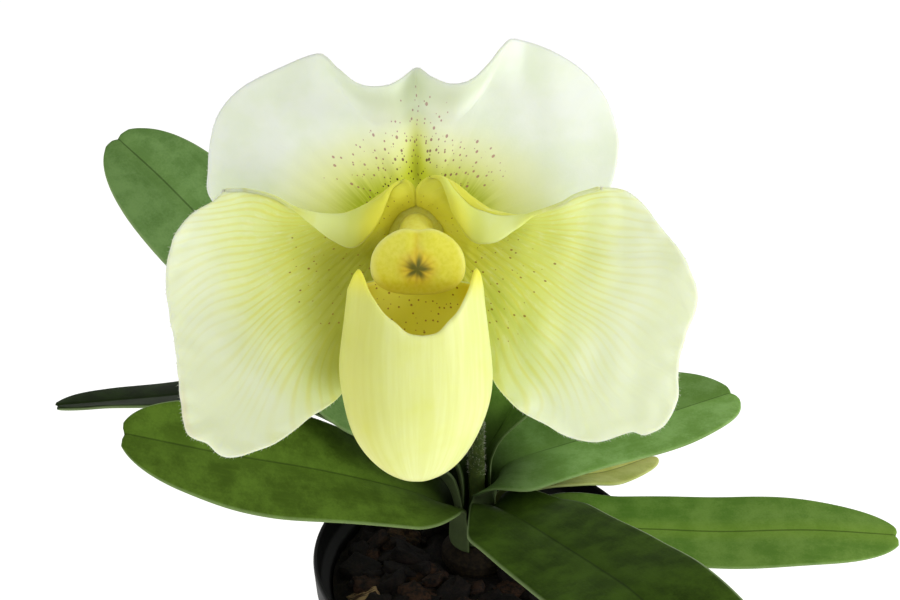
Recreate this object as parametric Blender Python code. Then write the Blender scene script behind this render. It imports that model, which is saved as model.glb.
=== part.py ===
"""A slipper orchid in a black nursery pot, in metres, +Z up, the flower facing -Y.

The origin is the centre of the pot's underside. The pot and the potting mix are turned and carved solids.
Each leaf, sepal and petal is a grid of points worked out from a few hand-chosen lines and thickened.
"""

import math

import bmesh
import bpy
import numpy as np
from mathutils import Matrix, Vector

# The pot: a 10.5 cm round nursery pot
POT_RIM_RADIUS = 0.0525
POT_HEIGHT = 0.095
POT_BASE_RADIUS = 0.038
POT_WALL = 0.0013
POT_FLOOR = 0.0020
RIM_BAND_HEIGHT = 0.011
RIM_BAND_STEP = 0.0022
BAND_FOOT = POT_HEIGHT - RIM_BAND_HEIGHT
POT_SIDES = 48
LIP_ROUND = 0.0006
DRAIN_HOLES = 8
DRAIN_RADIUS = 0.0045
DRAIN_CIRCLE_RADIUS = 0.027

# The potting mix of bark chips that fills the pot
MIX_TOP = 0.084
MIX_GAP = 0.0004
MIX_RINGS = 5
MIX_SWELL = 0.0012
CHIP_COUNT = 26
CHIP_LENGTH = 0.013
CHIP_SEED = 12

# The rootstock in its hole in the mix. Its top is a cone, and the leaves' sheaths and the stem stand on it
CROWN_X = -0.0010
CROWN_Y = 0.0120
CONE_TOP = 0.0940
CONE_TOP_RADIUS = 0.0030
CONE_FOOT = 0.0856
CONE_FOOT_RADIUS = 0.01117
CROWN_RADIUS = 0.0114
ROOT_HOLE_RADIUS = 0.0123
ROOT_HOLE_FLOOR = 0.036
ROOT_COUNT = 7
ROOT_RADIUS = 0.0020

# The flower stem, from the crown to behind the flower
STEM_RADIUS = 0.0024
STEM_FOOT_RADIUS = 0.00264
OVARY_RADIUS = 0.0031
OVARY_RIBS = 6
OVARY_RIB_SHARE = 0.06
STEM_PATH = ((CROWN_X, CROWN_Y, CONE_TOP + 0.0003), (-0.0011, 0.0120, 0.1085), (-0.0016, 0.0080, 0.1280),
             (-0.0034, -0.0080, 0.1620), (-0.0085, -0.0250, 0.1930))
OVARY_PATH = ((-0.0086, -0.0253, 0.1937), (-0.0125, -0.0325, 0.2110), (-0.0155, -0.0440, 0.2235),
              (-0.0168, -0.0580, 0.2292), (-0.0170, -0.0624, 0.2310))

# The flower's own frame: +x to the viewer's right, +y up along the sepal, +z out of its face
FLOWER_PLACE = Vector((-0.0170, -0.0690, 0.2305))
FLOWER_TILT = math.radians(18)
HEART = (0.0, 0.0030)
FOOT_RADIUS = 0.0044

# Leaves and petals: the sheaths are nested tubes a step apart, which blend into the blades above the crown
LEAF_THICKNESS = 0.0011
LEAF_HALF_WIDTH = 0.0190
SHEATH_FOLD = 50
TIP_NOTCH = 0.0012
INNER_SHEATH = 0.0040
SHEATH_STEP = LEAF_THICKNESS + 0.00035
SHEATH_BLEND = 0.016
SHEATH_BEND = np.array((0.30, 0.30, 0.50))
PETAL_THICKNESS = 0.0008
POUCH_THICKNESS = 0.0010

# The gap between pieces that touch
GAP = 0.0003

UP = np.array((0.0, 0.0, 1.0))
SHARP_ANGLE = math.radians(35)


def clear_scene():
    for obj in list(bpy.data.objects):
        bpy.data.objects.remove(obj)


def material(name, colour, roughness):
    """A Principled material with one colour, given as sRGB from 0 to 1."""
    made = bpy.data.materials.new(name)
    made.use_nodes = True
    shader = made.node_tree.nodes["Principled BSDF"]
    linear = [((c + 0.055) / 1.055) ** 2.4 if c > 0.04045 else c / 12.92 for c in colour]
    shader.inputs["Base Color"].default_value = (*linear, 1.0)
    shader.inputs["Roughness"].default_value = roughness
    shader.inputs["Metallic"].default_value = 0.0
    made.diffuse_color = (*linear, 1.0)
    return made


def new_object(name, mesh, finish):
    obj = bpy.data.objects.new(name, mesh)
    bpy.context.scene.collection.objects.link(obj)
    mesh.materials.append(finish)
    return obj


def smooth_step(x):
    x = np.clip(x, 0.0, 1.0)
    return x * x * (3.0 - 2.0 * x)


def bell(x, width):
    """A bump of height 1 at 0 that fades out over about two widths."""
    return np.exp(-((x / width) ** 2))


def curve_through(points, per_span):
    """The points of a Catmull-Rom curve, with per_span steps between each two of the given ones."""
    p = np.array(points, float)
    ends = np.vstack([2 * p[0] - p[1], p, 2 * p[-1] - p[-2]])
    u = np.linspace(0.0, 1.0, per_span, endpoint=False)[:, None]
    spans = [b + 0.5 * ((c - a) * u + (2 * a - 5 * b + 4 * c - d) * u**2 + (3 * b - a - 3 * c + d) * u**3)
             for a, b, c, d in zip(ends[:-3], ends[1:-2], ends[2:-1], ends[3:])]
    return np.vstack([*spans, p[-1][None]])


def smooth_path(points, count):
    """count points at equal steps along the curve through the given ones."""
    fine = curve_through(points, 24)
    along = np.concatenate([[0.0], np.cumsum(np.linalg.norm(np.diff(fine, axis=0), axis=1))])
    steps = np.linspace(0.0, along[-1], count)
    return np.stack([np.interp(steps, along, column) for column in fine.T], axis=1)


def grid_mesh(name, grid, loop=False):
    """A sheet of triangles over a grid of points. With loop, the last column joins the first."""
    rows, columns = grid.shape[:2]
    last = columns if loop else columns - 1
    faces = []
    for r in range(rows - 1):
        for c in range(last):
            a, b = r * columns + c, r * columns + (c + 1) % columns
            faces.append((a, b, b + columns))
            faces.append((a, b + columns, a + columns))
    mesh = bpy.data.meshes.new(name)
    mesh.from_pydata(grid.reshape(-1, 3).tolist(), [], faces)
    return mesh


def blade(name, mesh, thickness, finish):
    """A thin closed blade: a sheet of triangles, thickened evenly to both sides."""
    obj = new_object(name, mesh, finish)
    mesh.shade_smooth()
    wall = obj.modifiers.new("thickness", "SOLIDIFY")
    wall.thickness = thickness
    wall.offset = 0.0
    return obj


def tube_mesh(name, path, radii, sides, ribs=0, rib_height=0.0):
    """A closed tube along the path. radii holds one radius for each point, and ribs adds ridges along it."""
    path = np.array(path, float)
    tangent = np.gradient(path, axis=0)
    tangent /= np.linalg.norm(tangent, axis=1)[:, None]
    side = np.cross(tangent, (1.0, 0.0, 0.05))
    side /= np.linalg.norm(side, axis=1)[:, None]
    other = np.cross(tangent, side)
    turn = np.linspace(0.0, 2 * math.pi, sides, endpoint=False)
    ridge = 1.0 + rib_height * np.cos(ribs * turn)
    ring = (np.cos(turn)[None, :, None] * side[:, None] + np.sin(turn)[None, :, None] * other[:, None])
    grid = path[:, None] + ring * ridge[None, :, None] * np.array(radii)[:, None, None]
    mesh = grid_mesh(name, grid, loop=True)
    shape = bmesh.new()
    shape.from_mesh(mesh)
    bmesh.ops.holes_fill(shape, edges=[e for e in shape.edges if e.is_boundary])
    bmesh.ops.recalc_face_normals(shape, faces=shape.faces)
    shape.to_mesh(mesh)
    shape.free()
    mesh.shade_smooth()
    mesh.set_sharp_from_angle(angle=SHARP_ANGLE)
    return mesh


def turned(name, profile, sides, finish):
    """A solid of revolution about +Z from (radius, height) points that follow its outline round."""
    mesh = bpy.data.meshes.new(name)
    shape = bmesh.new()
    verts = [shape.verts.new((r, 0.0, z)) for r, z in profile]
    edges = [shape.edges.new(pair) for pair in zip(verts, verts[1:])]
    bmesh.ops.spin(
        shape, geom=[*verts, *edges], cent=(0, 0, 0), axis=(0, 0, 1), angle=2 * math.pi, steps=sides)
    bmesh.ops.remove_doubles(shape, verts=shape.verts, dist=1e-5)
    bmesh.ops.recalc_face_normals(shape, faces=shape.faces)
    shape.to_mesh(mesh)
    shape.free()
    obj = new_object(name, mesh, finish)
    mesh.shade_smooth()
    mesh.set_sharp_from_angle(angle=SHARP_ANGLE)
    return obj


def helper_mesh(name, mesh):
    """An object that only cuts or joins another. The build leaves it out."""
    obj = bpy.data.objects.new(name, mesh)
    bpy.context.scene.collection.objects.link(obj)
    obj.hide_render = True
    obj.display_type = "WIRE"
    return obj


def drill(name, radius, low, high, x, y, sides):
    """A round upright cutter from one height to another."""
    mesh = bpy.data.meshes.new(name)
    shape = bmesh.new()
    middle = Matrix.Translation((x, y, (low + high) / 2))
    bmesh.ops.create_cone(shape, cap_ends=True, segments=sides, radius1=radius, radius2=radius,
                          depth=high - low, matrix=middle)
    shape.to_mesh(mesh)
    shape.free()
    return helper_mesh(name, mesh)


def boolean(obj, other, operation):
    change = obj.modifiers.new(f"{operation.lower()} {other.name}", "BOOLEAN")
    change.operation = operation
    change.object = other


def apply_union(obj, helpers):
    """Joins the helper objects to obj by one union, applies it and removes them."""
    group = bpy.data.collections.new(obj.name + " joined")
    bpy.context.scene.collection.children.link(group)
    for helper in helpers:
        bpy.context.scene.collection.objects.unlink(helper)
        group.objects.link(helper)
    change = obj.modifiers.new("union", "BOOLEAN")
    change.operation = "UNION"
    change.operand_type = "COLLECTION"
    change.collection = group
    bpy.context.view_layer.objects.active = obj
    bpy.ops.object.modifier_apply(modifier=change.name)
    for helper in helpers:
        bpy.data.objects.remove(helper)
    bpy.data.collections.remove(group)


def pot_radius(height):
    """The outer radius of the tapered wall at a height, below the rim's band."""
    top = POT_RIM_RADIUS - RIM_BAND_STEP
    return POT_BASE_RADIUS + (top - POT_BASE_RADIUS) * height / POT_HEIGHT


def make_pot(finish):
    """The thin tapered pot with a stepped rim band, a floor and a ring of drain holes."""
    profile = [
        (0.0, 0.0),
        (POT_BASE_RADIUS, 0.0),
        (pot_radius(BAND_FOOT), BAND_FOOT),
        (POT_RIM_RADIUS - LIP_ROUND, BAND_FOOT + LIP_ROUND),
        (POT_RIM_RADIUS, POT_HEIGHT - 1.5 * LIP_ROUND),
        (POT_RIM_RADIUS - LIP_ROUND, POT_HEIGHT),
        (POT_RIM_RADIUS - POT_WALL, POT_HEIGHT - 0.7 * LIP_ROUND),
        (POT_RIM_RADIUS - POT_WALL - LIP_ROUND, BAND_FOOT + 5 * LIP_ROUND),
        (pot_radius(BAND_FOOT) - POT_WALL, BAND_FOOT + 2 * LIP_ROUND),
        (pot_radius(POT_FLOOR) - POT_WALL, POT_FLOOR),
        (0.0, POT_FLOOR),
    ]
    pot = turned("pot", profile, POT_SIDES, finish)
    for i in range(DRAIN_HOLES):
        around = 2 * math.pi * (i + 0.5) / DRAIN_HOLES
        x = DRAIN_CIRCLE_RADIUS * math.cos(around)
        y = DRAIN_CIRCLE_RADIUS * math.sin(around)
        cutter = drill(f"drain_{i}", DRAIN_RADIUS, -POT_FLOOR, 2 * POT_FLOOR, x, y, 12)
        boolean(pot, cutter, "DIFFERENCE")
    return pot


def bark_chip(index, place, turn, rng):
    """One rough chip: a box squeezed at its ends, tipped, and sunk half into the mix."""
    mesh = bpy.data.meshes.new(f"chip_{index}")
    shape = bmesh.new()
    bmesh.ops.create_cube(shape, size=1.0)
    length = CHIP_LENGTH * rng.uniform(0.75, 1.25)
    sizes = Vector((length, length * rng.uniform(0.45, 0.75), length * rng.uniform(0.40, 0.55)))
    for vert in shape.verts:
        squeeze = rng.uniform(0.72, 1.0)
        vert.co = Vector((vert.co.x * sizes.x, vert.co.y * sizes.y * squeeze, vert.co.z * sizes.z * squeeze))
    pitch = Matrix.Rotation(rng.uniform(-0.30, 0.30), 4, "X")
    yaw = Matrix.Rotation(rng.uniform(-0.25, 0.25), 4, "Y")
    shape.transform(Matrix.Translation(place) @ Matrix.Rotation(turn, 4, "Z") @ pitch @ yaw)
    shape.to_mesh(mesh)
    shape.free()
    return helper_mesh(f"chip_{index}", mesh)


def make_mix(finish):
    """The plug of mix with a low uneven top, chips standing out of it and a plain hole for the rootstock."""
    wall = POT_WALL + 2 * MIX_GAP
    top_radius = pot_radius(min(MIX_TOP, BAND_FOOT)) - wall
    profile = [
        (0.0, POT_FLOOR + GAP),
        (pot_radius(POT_FLOOR) - wall, POT_FLOOR + GAP),
        (top_radius, MIX_TOP - MIX_SWELL),
    ]
    profile += [(top_radius * (1 - i / MIX_RINGS), MIX_TOP) for i in range(1, MIX_RINGS + 1)]
    mix = turned("potting_mix", profile, POT_SIDES // 2, finish)
    for vert in mix.data.vertices:
        x, y, z = vert.co
        if z > MIX_TOP - 1e-4:
            vert.co.z += MIX_SWELL * (math.sin(310 * x + 1.0) * math.cos(270 * y) - 0.5)
    rng = np.random.default_rng(CHIP_SEED)
    golden = math.pi * (3 - math.sqrt(5))
    chips = []
    inner, outer = ROOT_HOLE_RADIUS + 0.009, top_radius - 0.0085
    for i in range(CHIP_COUNT):
        share = (i + 0.5) / CHIP_COUNT
        radius = math.sqrt(inner**2 + share * (outer**2 - inner**2))
        place = Vector((radius * math.cos(golden * i), radius * math.sin(golden * i), MIX_TOP + 0.0006))
        if math.dist(place.xy, (CROWN_X, CROWN_Y)) < ROOT_HOLE_RADIUS + CHIP_LENGTH * 0.75:
            continue
        chips.append(bark_chip(i, place, rng.uniform(0, math.pi), rng))
    apply_union(mix, chips)
    hole = drill("root_hole", ROOT_HOLE_RADIUS, ROOT_HOLE_FLOOR, POT_HEIGHT, CROWN_X, CROWN_Y, 20)
    boolean(mix, hole, "DIFFERENCE")
    return mix


def make_rootstock(finish):
    """The swollen foot of the plant with its cone on top, and fleshy roots that run down inside the hole."""
    outline = ((0.0760, 0.45 * CROWN_RADIUS), (0.0785, 0.88 * CROWN_RADIUS), (0.0830, CROWN_RADIUS),
               (CONE_FOOT, CONE_FOOT_RADIUS), (CONE_TOP, CONE_TOP_RADIUS))
    path = [(CROWN_X, CROWN_Y, z) for z, _ in outline]
    radii = [radius for _, radius in outline]
    stock = new_object("rootstock", tube_mesh("rootstock", path, radii, 20), finish)
    roots = []
    for i in range(ROOT_COUNT):
        around = 2 * math.pi * i / ROOT_COUNT + 0.3
        out = np.array((math.cos(around), math.sin(around), 0.0))
        across = np.array((-out[1], out[0], 0.0))
        heart = np.array((CROWN_X, CROWN_Y, 0.0))
        reach = (0.0030, 0.0078, 0.0092, 0.0080, 0.0088)
        heights = (0.0815, 0.0745, 0.0630, 0.0500, ROOT_HOLE_FLOOR + GAP + 0.0015 * (1 + i % 2))
        sway = (0.0, 0.0006, -0.0007, 0.0008, 0.0)
        points = [heart + out * r + across * s + UP * z for r, z, s in zip(reach, heights, sway)]
        thickness = ROOT_RADIUS * np.array((1.0, 1.0, 0.95, 0.9, 0.85, 0.55))
        root = tube_mesh(f"root_{i}", smooth_path(points, 6), thickness, 6)
        roots.append(helper_mesh(f"root_{i}", root))
    apply_union(stock, roots)
    return stock


def make_stem(finish):
    """The round flower stem that stands on the cone, and the ribbed ovary between its top and the flower."""
    path = smooth_path(STEM_PATH, 14)
    radii = np.linspace(STEM_FOOT_RADIUS, STEM_RADIUS, len(path))
    new_object("flower_stem", tube_mesh("flower_stem", path, radii, 10), finish)
    path = smooth_path(OVARY_PATH, 12)
    radii = STEM_RADIUS + (OVARY_RADIUS - STEM_RADIUS) * smooth_step(np.linspace(0.0, 1.0, len(path)) / 0.6)
    new_object("ovary", tube_mesh("ovary", path, radii, 12, OVARY_RIBS, OVARY_RIB_SHARE), finish)


# Each leaf: the layer of its sheath, counted from the innermost, the direction that it leaves in, how far
# its sheath wraps to each side, and its hug, how much further it wraps on the right of that direction, in
# degrees, its lobe, how far the margin on that side reaches out just above the sheath, the height of the
# sheath's top, its midrib from there to the tip, its width as a share of the full one, the share of its
# length in which it widens, the length in which its halves open, the angle of each half and the leaf's roll
# about its midrib at the tip, in degrees, and where its tip starts to narrow
LEAVES = {
    "leaf_back_left": dict(
        layer=1, azimuth=158, wrap=62, hug=0, lobe=(0, 0, 0), sheath_top=0.112,
        midrib=((-0.0159, 0.0140, 0.1252), (-0.0257, 0.0158, 0.1334), (-0.0381, 0.0190, 0.1436),
                (-0.0504, 0.0240, 0.1560), (-0.0713, 0.0330, 0.1766), (-0.0894, 0.0430, 0.1914),
                (-0.1005, 0.0500, 0.2000), (-0.1150, 0.0600, 0.2092)),
        width=1.02, swell=0.24, opening=0.045, fold=8, roll=32, taper=0.70),
    "leaf_left_high": dict(
        layer=2, azimuth=178, wrap=55, hug=0, lobe=(0, 0, 0), sheath_top=0.104,
        midrib=((-0.0180, 0.0125, 0.1190), (-0.0313, 0.0152, 0.1292), (-0.0501, 0.0205, 0.1370),
                (-0.0715, 0.0232, 0.1393), (-0.0943, 0.0218, 0.1370), (-0.1168, 0.0165, 0.1378),
                (-0.1303, 0.0110, 0.1398)),
        width=0.86, swell=0.24, opening=0.045, fold=9, roll=-16, taper=0.60),
    "leaf_left_low": dict(
        layer=3, azimuth=200, wrap=54, hug=0, lobe=(0, 0, 0), sheath_top=0.0970,
        midrib=((-0.0150, 0.0062, 0.1078), (-0.0250, 0.0026, 0.1150), (-0.0480, -0.0055, 0.1274),
                (-0.0733, -0.0140, 0.1388), (-0.0873, -0.0195, 0.1462), (-0.1005, -0.0235, 0.1525)),
        width=1.07, swell=0.18, opening=0.028, fold=6, roll=22, taper=0.58),
    "leaf_back_right": dict(
        layer=0, azimuth=51, wrap=60, hug=0, lobe=(0, 0, 0), sheath_top=0.117,
        midrib=((0.0068, 0.0202, 0.1262), (0.0125, 0.0270, 0.1328), (0.0240, 0.0410, 0.1425),
                (0.0355, 0.0560, 0.1540), (0.0455, 0.0710, 0.1640)),
        width=0.92, swell=0.30, opening=0.045, fold=14, roll=0, taper=0.64),
    "leaf_right_high": dict(
        layer=1, azimuth=21, wrap=58, hug=84, lobe=(-0.007, -0.005, -0.001), sheath_top=0.106,
        midrib=((0.0100, 0.0175, 0.1148), (0.0269, 0.0235, 0.1172), (0.0460, 0.0296, 0.1196),
                (0.0675, 0.0385, 0.1217), (0.0857, 0.0460, 0.1235)),
        width=1.02, swell=0.13, opening=0.020, fold=12, roll=-5, taper=0.70),
    "leaf_right_low": dict(
        layer=4, azimuth=-6, wrap=46, hug=0, lobe=(0, 0, 0), sheath_top=0.0900,
        midrib=((0.0150, 0.0100, 0.0955), (0.0250, 0.0080, 0.0978), (0.0400, 0.0055, 0.0980),
                (0.0580, 0.0040, 0.0982), (0.0762, 0.0012, 0.0996), (0.1020, -0.0025, 0.1030),
                (0.1280, -0.0060, 0.1038)),
        width=0.85, swell=0.31, opening=0.040, fold=4, roll=-8, taper=0.50),
    "leaf_front_right": dict(
        layer=2, azimuth=-62, wrap=54, hug=0, lobe=(0, 0, 0), sheath_top=0.1015,
        midrib=((0.0048, 0.0000, 0.1098), (0.0112, -0.0120, 0.1145), (0.0208, -0.0320, 0.1213),
                (0.0298, -0.0520, 0.1284), (0.0378, -0.0720, 0.1352), (0.0480, -0.0980, 0.1385),
                (0.0580, -0.1240, 0.1340)),
        width=1.05, swell=0.22, opening=0.026, fold=5, roll=-7, taper=0.70),
    "leaf_old": dict(
        layer=3, azimuth=30, wrap=38, hug=0, lobe=(0, 0, 0), sheath_top=0.0965,
        midrib=((0.0150, 0.0192, 0.1024), (0.0305, 0.0265, 0.1026), (0.0440, 0.0358, 0.0984),
                (0.0620, 0.0505, 0.0948)),
        width=0.54, swell=0.30, opening=0.045, fold=14, roll=0, taper=0.50),
}


def cone_height(radius):
    """The height of the rootstock's cone at a distance from its axis."""
    slope = (CONE_TOP - CONE_FOOT) / (CONE_FOOT_RADIUS - CONE_TOP_RADIUS)
    return CONE_TOP - slope * (radius - CONE_TOP_RADIUS)


def leaf_grid(leaf, rows, columns):
    """A strap leaf. Its foot is a sheath, an arc about the crown's axis that stands on the cone. Above it
    each half runs from the midrib to the margin, tilted up by the fold, which opens from the foot outwards.
    The width swells from the sheath's, stays even and ends in a blunt tip with a small notch."""
    radius = INNER_SHEATH + leaf["layer"] * SHEATH_STEP
    azimuth, wrap = math.radians(leaf["azimuth"]), math.radians(leaf["wrap"])
    axis = np.array((CROWN_X, CROWN_Y, 0.0))
    out = np.array((math.cos(azimuth), math.sin(azimuth), 0.0))
    foot = cone_height(radius - LEAF_THICKNESS / 2) + 1.4 * GAP
    start = axis + radius * out
    top = start + UP * leaf["sheath_top"]
    bend = top + (np.array(leaf["midrib"][0]) - top) * SHEATH_BEND
    midrib = [start + UP * foot, start + UP * (foot + leaf["sheath_top"]) / 2, top, bend, *leaf["midrib"]]
    fine = smooth_path(midrib, 300)
    length = np.linalg.norm(np.diff(fine, axis=0), axis=1).sum()
    u = np.linspace(0.0, 1.0, rows)
    t = u - 0.06 * np.sin(2 * math.pi * u)
    every = np.linspace(0.0, 1.0, 300)
    spine = np.stack([np.interp(t, every, column) for column in fine.T], axis=1)
    tangent = np.stack([np.interp(t, every, column) for column in np.gradient(fine, axis=0).T], axis=1)
    tangent /= np.linalg.norm(tangent, axis=1)[:, None]
    outwards = spine - axis
    outwards[:, 2] = 0.0
    outwards += tangent * np.array((1.0, 1.0, 0.0)) * 0.02
    flat_side = np.cross(outwards, UP)
    flat_side /= np.linalg.norm(flat_side, axis=1)[:, None]
    flat_side -= tangent * np.sum(flat_side * tangent, axis=1)[:, None]
    flat_side /= np.linalg.norm(flat_side, axis=1)[:, None]
    flat_up = np.cross(flat_side, tangent)
    roll = np.radians(leaf["roll"]) * smooth_step((t - 0.05) / 0.6)[:, None]
    side = flat_side * np.cos(roll) + flat_up * np.sin(roll)
    up = flat_up * np.cos(roll) - flat_side * np.sin(roll)
    above = t * length - 0.9 * (leaf["sheath_top"] - foot)
    open_out = smooth_step(above / leaf["opening"])
    fold = np.radians(leaf["fold"] + (SHEATH_FOLD - leaf["fold"]) * (1 - open_out))[:, None, None]
    foot_width = radius * wrap
    full = LEAF_HALF_WIDTH * leaf["width"]
    swell = foot_width + (full - foot_width) * smooth_step(above / (leaf["swell"] * length))
    blunt = (1.0 - (0.985 * np.clip((t - leaf["taper"]) / (1 - leaf["taper"]), 0, 1)) ** 2.4) ** 0.5
    half = (swell * blunt)[:, None, None]
    c = np.linspace(-1.0, 1.0, columns)[None, :, None]
    notch = TIP_NOTCH * smooth_step((t - 0.86) / 0.14)[:, None, None] * (1 - np.clip(np.abs(c) / 0.5, 0, 1))
    wide = (half * (side[:, None] * c * np.cos(fold) + up[:, None] * np.abs(c) * np.sin(fold))
            - tangent[:, None] * notch)
    across = np.cross(out, UP)
    turn = c * wrap + math.radians(leaf["hug"]) * np.maximum(c, 0) ** 2
    arc = radius * ((np.cos(turn) - 1) * out + np.sin(turn) * across)
    blend = smooth_step(above / SHEATH_BLEND)[:, None, None]
    lobe = smooth_step((above - 0.002) / 0.008) * bell(above - 0.012, 0.013)
    reach = lobe[:, None, None] * np.maximum(c, 0) ** 1.5
    return spine[:, None] + wide * blend + arc * (1 - blend) + reach * np.array(leaf["lobe"])


def on_flower(points):
    """Points of the flower's own frame, x right, y up and z out of the face, in the part's frame."""
    p = np.asarray(points, float)
    out = np.array((0.0, -math.cos(FLOWER_TILT), math.sin(FLOWER_TILT)))
    up = np.array((0.0, math.sin(FLOWER_TILT), math.cos(FLOWER_TILT)))
    right = np.array((1.0, 0.0, 0.0))
    return np.array(FLOWER_PLACE) + p[..., 0:1] * right + p[..., 1:2] * up + p[..., 2:3] * out


def foot_arc(first, last, count):
    """count points on the circle about the flower's heart where the sepals and petals are attached."""
    turn = np.radians(np.linspace(first, last, count))
    return np.array(HEART) + FOOT_RADIUS * np.stack([np.cos(turn), np.sin(turn)], axis=1)


def fan(foot_angles, edge, rows):
    """Rows of (x, y) points on straight rays from the foot's arc out to an edge, and each row's share t."""
    rim = np.array(edge)
    start = foot_arc(*foot_angles, len(rim))
    t = np.linspace(0.0, 1.0, rows)[:, None]
    return start[None] + t[:, :, None] * (rim - start)[None], t


# The dorsal sepal's edge as seen from the front, from its lower left round the top to its lower right
DORSAL_EDGE = ((-0.0200, 0.0020), (-0.0300, 0.0012), (-0.0400, 0.0045), (-0.0453, 0.0105),
               (-0.0455, 0.0162), (-0.0448, 0.0227), (-0.0427, 0.0287), (-0.0378, 0.0338),
               (-0.0302, 0.0376), (-0.0208, 0.0411), (-0.0163, 0.0382), (-0.0112, 0.0346),
               (-0.0060, 0.0343), (-0.0029, 0.0357), (0.0004, 0.0381), (0.0037, 0.0361), (0.0074, 0.0347),
               (0.0115, 0.0354), (0.0156, 0.0389), (0.0187, 0.0427), (0.0211, 0.0441), (0.0278, 0.0423),
               (0.0353, 0.0381), (0.0408, 0.0323), (0.0438, 0.0249), (0.0441, 0.0195), (0.0425, 0.0123),
               (0.0380, 0.0055), (0.0290, 0.0012), (0.0200, 0.0020))


def dorsal_grid(rows):
    """A broad hooded sepal: a groove down its midrib, sides that fall back, and a top margin between two
    crests that bends steeply forward, less so at the midrib."""
    plan, t = fan((160, 20), DORSAL_EDGE, rows)
    x = plan[..., 0]
    between = smooth_step((0.0235 - np.abs(x - 0.0003)) / 0.010)
    midrib = bell(x, 0.0030)
    hood = 0.0115 * between * smooth_step((t - 0.66) / 0.34) ** 1.3 * (1 - 0.35 * midrib)
    groove = -0.0024 * midrib * smooth_step(t / 0.25)
    sides = 0.0030 * (x / 0.045) ** 2 - 0.0045 * smooth_step((np.abs(x) / 0.045 - 0.62) / 0.38)
    z = -0.0055 + 0.0018 * smooth_step((t - 0.1) / 0.4) + hood + groove + sides * t
    return np.concatenate([plan, z[..., None]], axis=-1)


# Each petal as seen from the front: its upper margin from the foot over the swollen base and along the
# crest where it rolls forward, its free edge from the shoulder round to the inner foot, and how far the
# rolled lap hangs down at shares of the upper margin. The right petal has its own lines, since no flower is
# even
LEFT_PETAL = dict(
    upper=((-0.0008, 0.0073), (-0.0007, 0.0118), (-0.0021, 0.0140), (-0.0047, 0.0133), (-0.0072, 0.0108),
           (-0.0106, 0.0091), (-0.0149, 0.0073), (-0.0202, 0.0074), (-0.0255, 0.0089), (-0.0297, 0.0112),
           (-0.0349, 0.0125), (-0.0400, 0.0127)),
    edge=((-0.0400, 0.0127), (-0.0423, 0.0104), (-0.0475, 0.0073), (-0.0513, 0.0021), (-0.0530, -0.0050),
          (-0.0526, -0.0120), (-0.0511, -0.0202), (-0.0505, -0.0260), (-0.0500, -0.0330),
          (-0.0492, -0.0390), (-0.0452, -0.0418), (-0.0414, -0.0447), (-0.0366, -0.0440),
          (-0.0292, -0.0411), (-0.0228, -0.0366), (-0.0164, -0.0322), (-0.0120, -0.0240),
          (-0.0098, -0.0140), (-0.0078, -0.0050), (-0.0052, 0.0000)),
    lap=((0.0, 0.0), (0.20, 0.0004), (0.25, 0.0020), (0.32, 0.0058), (0.40, 0.0074), (0.50, 0.0052),
         (0.62, 0.0018), (0.72, 0.0005), (1.0, 0.0005)),
    foot=(98, 200),
    waves=(0.0013, 3.1, 0.15),
)
RIGHT_PETAL = dict(
    upper=((0.0008, 0.0073), (0.0007, 0.0120), (0.0028, 0.0147), (0.0060, 0.0148), (0.0082, 0.0122),
           (0.0116, 0.0089), (0.0148, 0.0076), (0.0180, 0.0068), (0.0223, 0.0069), (0.0254, 0.0078),
           (0.0307, 0.0097), (0.0339, 0.0114), (0.0391, 0.0131)),
    edge=((0.0391, 0.0131), (0.0443, 0.0125), (0.0485, 0.0094), (0.0516, 0.0053), (0.0558, 0.0001),
          (0.0579, -0.0041), (0.0596, -0.0093), (0.0587, -0.0146), (0.0571, -0.0199), (0.0562, -0.0263),
          (0.0560, -0.0320), (0.0531, -0.0369), (0.0490, -0.0392), (0.0463, -0.0389), (0.0417, -0.0410),
          (0.0374, -0.0418), (0.0332, -0.0409), (0.0279, -0.0379), (0.0225, -0.0349), (0.0170, -0.0290),
          (0.0130, -0.0190), (0.0102, -0.0090), (0.0052, 0.0000)),
    lap=((0.0, 0.0), (0.20, 0.0004), (0.25, 0.0024), (0.32, 0.0052), (0.42, 0.0066), (0.52, 0.0052),
         (0.62, 0.0022), (0.72, 0.0005), (1.0, 0.0005)),
    foot=(82, -20),
    waves=(0.0013, 3.4, 0.40),
)
LAP_STEPS = 3
LAP_TURN = 0.62 * math.pi


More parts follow.
